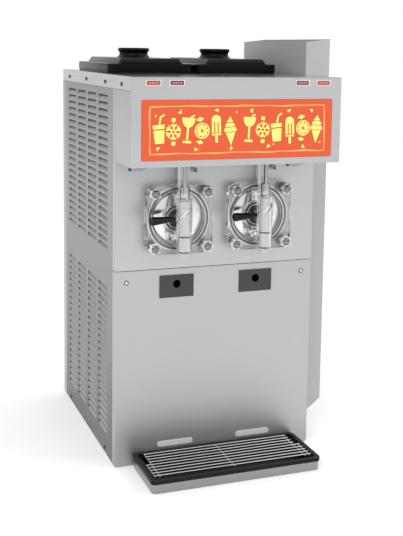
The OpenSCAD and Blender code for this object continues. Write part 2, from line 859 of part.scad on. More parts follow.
module stem(s) {
  color(bright_steel) translate([s * unit_x, spigot_y, 0]) difference() {
    union() {
      translate([0, 0, head_z0]) cylinder(r = head_r, h = head_z1 - head_z0);
      translate([0, 0, head_z1 - eps]) cylinder(r = rod_r, h = rod_top - head_z1);
    }
    translate([0, 0, head_z0 - 1]) cylinder(r = neck_pin_r + fit, h = 14);
  }
}

module stem_left() stem(-1);
module stem_right() stem(1);

module valve(s) {
  color(bright_steel) translate([s * unit_x, spigot_y, 0]) difference() {
    union() {
      translate([0, 0, piston_z0]) cylinder(r = piston_r, h = piston_z1 - piston_z0);
      translate([0, 0, piston_z1 - eps]) cylinder(r = neck_pin_r, h = 12);
    }
    for (z = ring_zs) translate([0, 0, z - ring_h / 2 - 0.1]) difference() {
      cylinder(r = piston_r + 1, h = ring_h + 0.2);
      translate([0, 0, -1]) cylinder(r = piston_r - 2, h = ring_h + 3);
    }
    translate([0, 0, slot_z]) rotate([0, 90, 180 + handle_rest])
      translate([0, 0, 4]) cylinder(r = handle_pin_r + fit, h = 12);
  }
}

module valve_left() valve(-1);
module valve_right() valve(1);

module valve_rings(s) {
  color(black) translate([s * unit_x, spigot_y, 0]) for (z = ring_zs)
    translate([0, 0, z - ring_h / 2]) difference() {
      cylinder(r = piston_r, h = ring_h);
      translate([0, 0, -1]) cylinder(r = piston_r - 2 + fit, h = ring_h + 2);
    }
}

module valve_rings_left() valve_rings(-1);
module valve_rings_right() valve_rings(1);

grip_start = 29;
grip_end_r = 9.4;

module handle(s) {
  color(black) translate([s * unit_x, spigot_y, slot_z]) rotate([0, 90, 180 + handle_rest]) {
    translate([0, 0, 4.2]) cylinder(r = handle_pin_r, h = grip_start - 2);
    translate([0, 0, grip_start - 5]) cylinder(r1 = 4.6, r2 = 5.4, h = 5);
    translate([0, 0, grip_start - eps])
      cylinder(r1 = 5.5, r2 = grip_end_r, h = handle_reach - grip_start - 2);
    translate([0, 0, handle_reach - 2 - 2 * eps]) cylinder(r1 = grip_end_r, r2 = 8, h = 2);
  }
}

module handle_left() handle(-1);
module handle_right() handle(1);

prime_rod_r = 3.1;

module prime_plug(s) {
  color(bright_steel) translate([s * unit_x, prime_y, 0]) {
    translate([0, 0, prime_z0 + 0.2]) cylinder(r = prime_r - fit, h = door_top - prime_z0 + 5);
    translate([0, 0, door_top]) cylinder(r = prime_rod_r, h = header_z + 34 - door_top);
  }
}

module prime_plug_left() prime_plug(-1);
module prime_plug_right() prime_plug(1);

// ---- switches ----
bracket_z = header_z + 17;
bracket_half = 22;

module draw_switch() {
  difference() {
    union() {
      box([-bracket_half, spigot_y - 14, bracket_z], [bracket_half, front, bracket_z + 2]);
      box([-bracket_half, front - 2.1, bracket_z], [bracket_half, front, bracket_z + 26]);
      box([8, spigot_y - 10, bracket_z + 2 - eps], [20, spigot_y + 10, bracket_z + 24]);
    }
    translate([0, spigot_y, bracket_z - 1]) cylinder(r = rod_r + 0.4, h = 5);
    translate([0, prime_y, bracket_z - 1]) cylinder(r = prime_rod_r + 0.5, h = 5);
  }
}

toggle_pivot_y = front - 4;

module toggle_body() {
  difference() {
    union() {
      box([toggle_dx - 9, front + sheet + 0.2, toggle_z - 12],
          [toggle_dx + 9, front + sheet + 26, toggle_z + 12]);
      along_y([toggle_dx, front - 7, toggle_z]) cylinder(r = 6, h = 10);
    }
    along_y([toggle_dx, front - 8, toggle_z]) cylinder(r = 4.6, h = 8);
  }
}

module switches() {
  color(dark_steel) both_units() {
    draw_switch();
    toggle_body();
  }
}

toggle_droop = 18;
ball_r = 3;
tip_r = 2.8;
lever_len = 16;

module toggle(s) {
  color(bright_steel)
    translate([s * unit_x + toggle_dx, toggle_pivot_y, toggle_z]) rotate([90 + toggle_droop, 0, 0]) {
      sphere(r = ball_r);
      // pivot pin
      along_x([-3.8, 0, 0]) cylinder(r = 1.2, h = 7.6);
      cylinder(r1 = 1.8, r2 = tip_r, h = lever_len);
      translate([0, 0, lever_len]) sphere(r = tip_r);
    }
}

module toggle_left() toggle(-1);
module toggle_right() toggle(1);

// ---- drip pans and tray ----
plate_w = 79;
plate_h = 50;
finger_r = 9;
finger_dz = 5;
pan_wall = 2;

module drip_pan(s) {
  cz = pan_z + pan_h / 2;
  color(pan_grey) translate([s * unit_x, 0, 0]) difference() {
    union() {
      box([-plate_w / 2, front - 2.8, cz - plate_h / 2], [plate_w / 2, front - 0.3, cz + plate_h / 2]);
      box([-pan_w / 2, front - 0.3 - eps, pan_z], [pan_w / 2, front + pan_len, pan_z + pan_h]);
    }
    box([-pan_w / 2 + pan_wall, front + pan_wall, pan_z + pan_wall],
        [pan_w / 2 - pan_wall, front + pan_len - pan_wall, pan_z + pan_h + 1]);
    along_y([0, front - 5, cz + finger_dz]) cylinder(r = finger_r, h = 12);
  }
}

module drip_pan_left() drip_pan(-1);
module drip_pan_right() drip_pan(1);

tray_y1 = front - 1;
tray_cy = tray_y1 - tray_d / 2;
tray_wall = 1.2;
pan_rim_z = tray_h - 5;

module tray_plan(w, d, r) {
  translate([0, tray_cy]) rounded_rect(w, d, r);
}

module drip_tray() {
  color(steel) difference() {
    linear_extrude(pan_rim_z) tray_plan(tray_w - 6, tray_d - 5, 9);
    translate([0, 0, tray_wall]) linear_extrude(tray_h)
      tray_plan(tray_w - 6 - 2 * tray_wall, tray_d - 5 - 2 * tray_wall, 8);
  }
}

rim_skirt = 3.5;
ledge_t = 3;
liner_z = tray_wall + 0.2;
liner_wall = 1.6;

// Black rim with a turned-down skirt, a ledge for the grille and a liner inside the pan
module tray_rim() {
  floor_z = liner_z + liner_wall;
  color(black) difference() {
    union() {
      difference() {
        translate([0, 0, pan_rim_z - rim_skirt])
          linear_extrude(tray_h - pan_rim_z + rim_skirt) tray_plan(tray_w, tray_d, 11);
        translate([0, 0, -1]) linear_extrude(pan_rim_z + 1.1)
          tray_plan(tray_w - 5.6, tray_d - 4.6, 9.2);
      }
      translate([0, 0, liner_z]) linear_extrude(pan_rim_z - liner_z + 1)
        tray_plan(tray_w - 9.4, tray_d - 8.4, 7);
    }
    translate([0, 0, pan_rim_z]) linear_extrude(10) tray_plan(tray_w - 20, tray_d - 18, 6);
    translate([0, 0, floor_z]) linear_extrude(pan_rim_z - ledge_t - floor_z)
      tray_plan(tray_w - 13, tray_d - 12, 5);
    translate([0, 0, floor_z]) linear_extrude(40) tray_plan(tray_w - 34, tray_d - 34, 5);
  }
}

wire_r = 1.6;
wire_y0 = front - 15;
wire_step = 14;
grille_w = 345;
end_wire_x = 183;
// the rear wires end between the hangers, the others reach the tray's ends
short_wires = 4;
cross_z = pan_rim_z + wire_r + 0.1;
wire_z = cross_z + 2.9;

module tray_grille() {
  last_y = wire_y0 - (grille_wires - 1) * wire_step;
  color(bright_steel) {
    for (i = [0 : grille_wires - 1]) {
      half = i < short_wires ? grille_w / 2 : end_wire_x;
      along_x([-half, wire_y0 - i * wire_step, wire_z]) cylinder(r = wire_r, h = 2 * half);
    }
    for (x = [-grille_w / 2 + 3, 0, grille_w / 2 - 3])
      along_y([x, last_y - 5, cross_z]) cylinder(r = wire_r, h = wire_y0 - last_y + 10);
    for (x = [-end_wire_x + 2, end_wire_x - 2])
      along_y([x, last_y - 3, cross_z])
        cylinder(r = wire_r, h = wire_y0 - short_wires * wire_step - last_y + 6);
  }
}

// ---- refrigeration ----
fan_y = 0;
fan_z = 199;
condenser_x = -218;
condenser_t = 30;
fin_pitch = 10;
condenser_half = 145;
condenser_z = [48, 348];
shroud_x = condenser_x + condenser_t + 4;
fan_r = 122;
shroud_half = 148;
shroud_depth = 26;

module condenser() {
  n = floor(2 * condenser_half / fin_pitch);
  comb = concat(
    [[0, -condenser_half], [condenser_t, -condenser_half]],
    [for (i = [0 : n - 1]) each [
      [condenser_t, -condenser_half + i * fin_pitch + 3],
      [condenser_t / 2, -condenser_half + i * fin_pitch + 3],
      [condenser_t / 2, -condenser_half + i * fin_pitch + fin_pitch],
      [condenser_t, -condenser_half + i * fin_pitch + fin_pitch]]],
    [[condenser_t, condenser_half + 3], [0, condenser_half + 3]]);
  color(fin_metal) translate([condenser_x, fan_y, condenser_z[0]])
    linear_extrude(condenser_z[1] - condenser_z[0]) polygon(comb);
}

module fan_shroud() {
  color(dark_steel) difference() {
    union() {
      box([shroud_x, fan_y - shroud_half, condenser_z[0]],
          [shroud_x + 2, fan_y + shroud_half, condenser_z[1]]);
      along_x([shroud_x, fan_y, fan_z]) cylinder(r = fan_r + 8, h = shroud_depth);
    }
    along_x([shroud_x - 1, fan_y, fan_z]) cylinder(r = fan_r + 5, h = shroud_depth + 4);
  }
}

fan_x = shroud_x + 6;
fan_shaft_r = 4;
fan_blades = 4;
fan_hub_r = 22;
blade_pitch = 28;

module fan() {
  color(motor_grey) difference() {
    union() {
      along_x([fan_x, fan_y, fan_z]) cylinder(r = fan_hub_r, h = 16);
      for (i = [0 : fan_blades - 1])
        translate([fan_x + 8, fan_y, fan_z]) rotate([i * 360 / fan_blades, 0, 0])
          rotate([0, 0, blade_pitch]) translate([-1, -24, 14]) cube([2, 48, fan_r - fan_hub_r]);
    }
    along_x([fan_x - 1, fan_y, fan_z]) cylinder(r = fan_shaft_r + fit, h = 30);
  }
}

motor_x = fan_x + 36;
fan_motor_r = 44;
fan_motor_len = 62;

module fan_motor() {
  color(motor_grey) {
    along_x([motor_x, fan_y, fan_z]) cylinder(r = fan_motor_r, h = fan_motor_len);
    along_x([fan_x + 1, fan_y, fan_z]) cylinder(r = fan_shaft_r, h = motor_x - fan_x);
    // foot plate and post
    box([motor_x + 10, fan_y - 26, base_in + 0.1], [motor_x + 52, fan_y + 26, base_in + 4]);
    box([motor_x + 26, fan_y - 22, base_in + 3], [motor_x + 36, fan_y + 22, fan_z - 30]);
  }
}

compressor_x = 70;
compressor_y = 60;
shell_r = 78;
shell_h = 130;
shell_dome = 46;
foot_off = 70;
plate_half = 80;
stub_x = 30;

module compressor() {
  color(shell_black) translate([compressor_x, compressor_y, 0]) {
    translate([0, 0, base_in + 16]) rotate_extrude() polygon(concat(
      [[0, 0], [shell_r - 14, 0], [shell_r, 12]],
      [for (a = [0 : 15 : 90]) [shell_r * cos(a), shell_h + shell_dome * sin(a)]]));
    // rubber feet, pipe stubs, base plate and terminal cover
    for (x = [-foot_off, foot_off], y = [-foot_off, foot_off])
      translate([x, y, base_in + 0.1]) cylinder(r = 13, h = 18);
    for (x = [-stub_x, stub_x]) translate([x, 0, 150]) cylinder(r = 8, h = stub_z - 150);
    box([-plate_half, -plate_half, base_in + 12], [plate_half, plate_half, base_in + 18]);
    box([shell_r - 12, -24, 60], [shell_r + 14, 24, 120]);
  }
}

control_low = [60, front + 40, 60];
control_high = [200, front + 110, 330];
control_wall = 2;
control_lid = 3;

module control_box() {
  lip = [control_wall, 0, control_wall];
  color(box_grey) {
    difference() {
      box(control_low, control_high);
      box(control_low + lip - [0, 1, 0], control_high - lip - [0, control_wall, 0]);
    }
    // cover, then the two legs
    box(control_low - lip - [0, control_lid, 0],
        [control_high[0] + control_wall, control_low[1] + eps, control_high[2] + control_wall]);
    for (x = [70, 180]) box([x, front + 60, base_in], [x + 10, front + 100, control_low[2] + eps]);
  }
}

pipe_r = 4.8;
stub_z = 196;
// heights and rear turn of the two lines: to the condenser and from the cylinders
condenser_line_z = 345;
return_line_z = 320;
riser_z = 436;
line_y = 170;

// A run of straight pipes with ball corners
module pipe_run(points) {
  for (i = [0 : len(points) - 2]) {
    d = points[i + 1] - points[i];
    translate(points[i]) rotate([0, acos(d[2] / norm(d)), atan2(d[1], d[0])])
      cylinder(r = pipe_r, h = norm(d));
    translate(points[i + 1]) sphere(r = pipe_r);
  }
}

module refrigerant_lines() {
  color(copper) {
    x1 = compressor_x - stub_x;
    z1 = condenser_line_z;
    pipe_run([[x1, compressor_y, stub_z], [x1, compressor_y, z1], [-60, compressor_y, z1],
              [-60, line_y, z1], [-200, line_y, z1], [-200, line_y, 100]]);
    x2 = compressor_x + stub_x;
    z2 = return_line_z;
    pipe_run([[x2, compressor_y, stub_z], [x2, compressor_y, z2], [x2, line_y, z2], [0, line_y, z2],
              [0, line_y, riser_z], [0, 20, riser_z], [0, 20, 600]]);
  }
}

cord_r = 4.6;

module cord_gland() {
  color(black) difference() {
    union() {
      along_y([gland_x, back - 8, gland_z]) cylinder(r = gland_r, h = 16);
      along_y([gland_x, back + 0.1, gland_z]) cylinder(r = gland_r + 4, h = 4);
      along_y([gland_x, back + 4, gland_z]) cylinder(r1 = gland_r + 1, r2 = gland_r - 1, h = 12);
    }
    along_y([gland_x, back - 10, gland_z]) cylinder(r = cord_r, h = 30);
  }
}

// ---- air duct ----
duct_x0 = side + 3;
duct_collar = 12;
duct_x1 = duct_x0 + duct_w;
duct_y0 = front + 60;
duct_low = 33;
duct_slant_z = 80;

function duct_outline(t) = [
  [duct_x0 + t, duct_low + 1.6 * t], [duct_x1 - t, duct_slant_z + t], [duct_x1 - t, duct_top + 10 * t],
  [duct_x0 + t, duct_top - 7 + 10 * t]];

module air_duct() {
  color(steel) difference() {
    union() {
      upright(duct_y0 + duct_d, duct_d) polygon(duct_outline(0));
      box([duct_x1 - sheet, duct_y0, duct_top - 2], [duct_x1 + 4, duct_y0 + duct_d, duct_top]);
      // collar round the exhaust window, against the side panel
      box([side, exhaust_y[0] - duct_collar + 2, exhaust_z[0] - duct_collar],
          [duct_x0 + eps, exhaust_y[1] + duct_collar - 2, exhaust_z[1] + duct_collar]);
    }
    upright(duct_y0 + duct_d - sheet, duct_d - 2 * sheet) polygon(duct_outline(sheet));
    box([duct_x0 - 5, exhaust_y[0], exhaust_z[0]], [duct_x0 + 5, exhaust_y[1], exhaust_z[1]]);
  }
}

// ---- drawing ----
base_pan();
frame();
left_panel();
right_panel();
rear_panel();
upper_front_panel();
lower_front_panel();
header_shell();
sign_panel();
sign_lamp();
lens_bezels();
indicator_lenses();
top_cover();
panel_screws();
hopper_left();
hopper_right();
cylinder_left();
cylinder_right();
insulation_jackets();
gear_units();
beater_motors();
compressor();
condenser();
fan_shroud();
fan_motor();
control_box();
refrigerant_lines();
air_duct();
door_left();
door_right();
door_gaskets();
door_studs();
handscrews();
cord_gland();
switches();
tray_hangers();
lid_left();
lid_right();
stem_left();
stem_right();
valve_left();
valve_right();
valve_rings_left();
valve_rings_right();
handle_left();
handle_right();
prime_plug_left();
prime_plug_right();
dasher_left();
dasher_right();
scraper_blades_left();
scraper_blades_right();
fan();
drip_pan_left();
drip_pan_right();
drip_tray();
tray_rim();
tray_grille();
toggle_left();
toggle_right();
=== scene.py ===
import math

import bmesh
import bpy
from mathutils import Matrix, Vector


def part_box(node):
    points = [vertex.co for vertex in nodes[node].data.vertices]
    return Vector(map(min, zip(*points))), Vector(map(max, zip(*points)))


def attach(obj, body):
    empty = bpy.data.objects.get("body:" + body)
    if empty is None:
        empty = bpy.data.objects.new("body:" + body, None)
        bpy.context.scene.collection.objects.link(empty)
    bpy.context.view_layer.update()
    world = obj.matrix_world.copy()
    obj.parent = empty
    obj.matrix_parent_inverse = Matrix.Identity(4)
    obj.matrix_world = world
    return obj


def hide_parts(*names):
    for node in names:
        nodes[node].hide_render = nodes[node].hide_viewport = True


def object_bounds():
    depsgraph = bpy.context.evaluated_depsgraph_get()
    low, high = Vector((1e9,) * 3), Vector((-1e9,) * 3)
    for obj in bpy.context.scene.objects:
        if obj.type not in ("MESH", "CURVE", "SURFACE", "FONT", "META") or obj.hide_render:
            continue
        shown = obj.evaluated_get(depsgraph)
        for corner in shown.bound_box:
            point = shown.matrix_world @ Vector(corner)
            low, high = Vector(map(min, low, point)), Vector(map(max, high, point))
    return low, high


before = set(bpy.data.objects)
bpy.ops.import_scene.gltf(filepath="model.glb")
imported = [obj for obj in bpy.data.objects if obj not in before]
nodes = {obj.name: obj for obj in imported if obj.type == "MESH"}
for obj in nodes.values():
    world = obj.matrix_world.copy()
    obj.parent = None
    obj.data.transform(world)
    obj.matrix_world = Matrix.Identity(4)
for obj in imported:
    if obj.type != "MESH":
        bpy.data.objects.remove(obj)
cad_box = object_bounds()

MM = 0.001
SIDES = ("left", "right")


def link(obj):
    bpy.context.scene.collection.objects.link(obj)
    return obj


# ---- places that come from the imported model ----
DOOR_HALF = 75 * MM
STUD_OFF = 60 * MM
PANEL_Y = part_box("upper_front_panel")[0].y
SIGN_LOW, SIGN_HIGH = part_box("sign_panel")
SIGN_FACE_Y = SIGN_LOW.y
SIGN_Z = (SIGN_LOW.z + SIGN_HIGH.z) / 2


def centre(node):
    low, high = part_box(node)
    return (low + high) / 2


UNIT = {}
for side in SIDES:
    stem_mid = centre("stem_" + side)
    door_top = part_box("door_" + side)[1].z
    UNIT[side] = {"x": stem_mid.x, "spigot_y": stem_mid.y, "axis_z": door_top - DOOR_HALF}


# ---- materials ----
def node_of(tree, kind, **sockets):
    n = tree.nodes.new(kind)
    for key, value in sockets.items():
        n.inputs[key].default_value = value
    return n


def ramp_of(tree, source, low, high, at=(0.3, 0.7)):
    ramp = tree.nodes.new("ShaderNodeValToRGB")
    first, second = ramp.color_ramp.elements
    first.position, second.position = at
    first.color, second.color = (*low, 1), (*high, 1)
    tree.links.new(source, ramp.inputs["Fac"])
    return ramp.outputs["Color"]


def range_of(tree, source, low, high, at=(0.3, 0.7)):
    out = tree.nodes.new("ShaderNodeMapRange")
    out.inputs["From Min"].default_value, out.inputs["From Max"].default_value = at
    out.inputs["To Min"].default_value, out.inputs["To Max"].default_value = low, high
    tree.links.new(source, out.inputs["Value"])
    return out.outputs["Result"]


def noise_of(tree, scale, detail=2.0, stretch=None, rough=0.5):
    tex = node_of(tree, "ShaderNodeTexNoise", Scale=scale, Detail=detail, Roughness=rough)
    where = tree.nodes.new("ShaderNodeTexCoord").outputs["Object"]
    if stretch:
        mapping = tree.nodes.new("ShaderNodeMapping")
        mapping.inputs["Scale"].default_value = stretch
        tree.links.new(where, mapping.inputs["Vector"])
        where = mapping.outputs["Vector"]
    tree.links.new(where, tex.inputs["Vector"])
    return tex.outputs["Fac"]


def mixed(tree, a, b, factor, blend="MIX"):
    mix = tree.nodes.new("ShaderNodeMix")
    mix.data_type, mix.blend_type = "RGBA", blend
    for socket, value in ((mix.inputs[0], factor), (mix.inputs[6], a), (mix.inputs[7], b)):
        if isinstance(value, bpy.types.NodeSocket):
            tree.links.new(value, socket)
        else:
            socket.default_value = value if isinstance(value, float) else (*value, 1)
    return mix.outputs[2]


def scaled(color, k):
    return tuple(min(1.0, c * k) for c in color)


# what counts as a worn edge, and how far the wear shows there
WORN_EDGE, WEAR = (0.53, 0.62), 0.6
# near the floor, painted shade: upright sheet is painted darker, and painted light: the leaning louvre
# blades are painted lighter
PAINTED_LOW_SHADE, PAINTED_BLADE_LIGHT, LEAN = 0.38, 1.25, (0.05, 0.3)


def paint_low_shade_and_light(tree, tone, color, strength, top):
    """Paints shade on upright faces and light on leaning ones, from the height top down to the floor."""
    place = tree.nodes.new("ShaderNodeSeparateXYZ")
    tree.links.new(tree.nodes.new("ShaderNodeTexCoord").outputs["Object"], place.inputs[0])
    foot = range_of(tree, place.outputs["Z"], strength, 0.0, (0.0, top))
    facing = tree.nodes.new("ShaderNodeSeparateXYZ")
    tree.links.new(tree.nodes.new("ShaderNodeNewGeometry").outputs["Normal"], facing.inputs[0])
    steep = tree.nodes.new("ShaderNodeMath")
    steep.operation = "ABSOLUTE"
    tree.links.new(facing.outputs["Z"], steep.inputs[0])
    painted_low_tone = ramp_of(tree, steep.outputs[0], scaled(color, PAINTED_LOW_SHADE), scaled(color, PAINTED_BLADE_LIGHT), LEAN)
    return mixed(tree, tone, painted_low_tone, foot)


def material(name, color, metal=0.0, rough=(0.35, 0.45), grain=900.0, stretch=None,
             grain_amp=0.06, cloud=7.0, cloud_amp=0.06, bump=0.2, depth=0.05,
             wear=None, low=0.0, painted_shade_top=0.07, **sockets):
    """One surface: fine grain, slow clouding, uneven gloss, a shallow bump, worn edges, and, where low is
    given, painted shade and light near the floor.
    """
    mat = bpy.data.materials.new(name)
    mat.use_nodes = True
    tree = mat.node_tree
    shader = tree.nodes["Principled BSDF"]
    fine = noise_of(tree, grain, 3.0, stretch)
    slow = noise_of(tree, cloud, 3.0)
    tone = ramp_of(tree, fine, scaled(color, 1 - grain_amp), scaled(color, 1 + grain_amp))
    shade = ramp_of(tree, slow, (1 - cloud_amp,) * 3, (1.0,) * 3)
    tone = mixed(tree, tone, shade, 1.0, "MULTIPLY")
    if wear:
        point = tree.nodes.new("ShaderNodeNewGeometry").outputs["Pointiness"]
        tone = mixed(tree, tone, wear, range_of(tree, point, 0.0, WEAR, WORN_EDGE))
    # painted shade on upright faces near the floor and painted light on the leaning louvre blades
    if low:
        tone = paint_low_shade_and_light(tree, tone, color, low, painted_shade_top)
    tree.links.new(tone, shader.inputs["Base Color"])
    gloss = mixed(tree, (rough[0],) * 3, (rough[1],) * 3, slow)
    tree.links.new(gloss, shader.inputs["Roughness"])
    relief = node_of(tree, "ShaderNodeBump", Strength=bump, Distance=depth * MM)
    tree.links.new(fine, relief.inputs["Height"])
    tree.links.new(relief.outputs["Normal"], shader.inputs["Normal"])
    shader.inputs["Metallic"].default_value = metal
    for key, value in sockets.items():
        shader.inputs[key.replace("_", " ")].default_value = value
    return mat


BRUSH_ALONG_X = (3.0, 3.0, 260.0)
BRUSH_ACROSS_TOP = (3.0, 260.0, 30.0)
BRUSH_UP = (260.0, 260.0, 3.0)

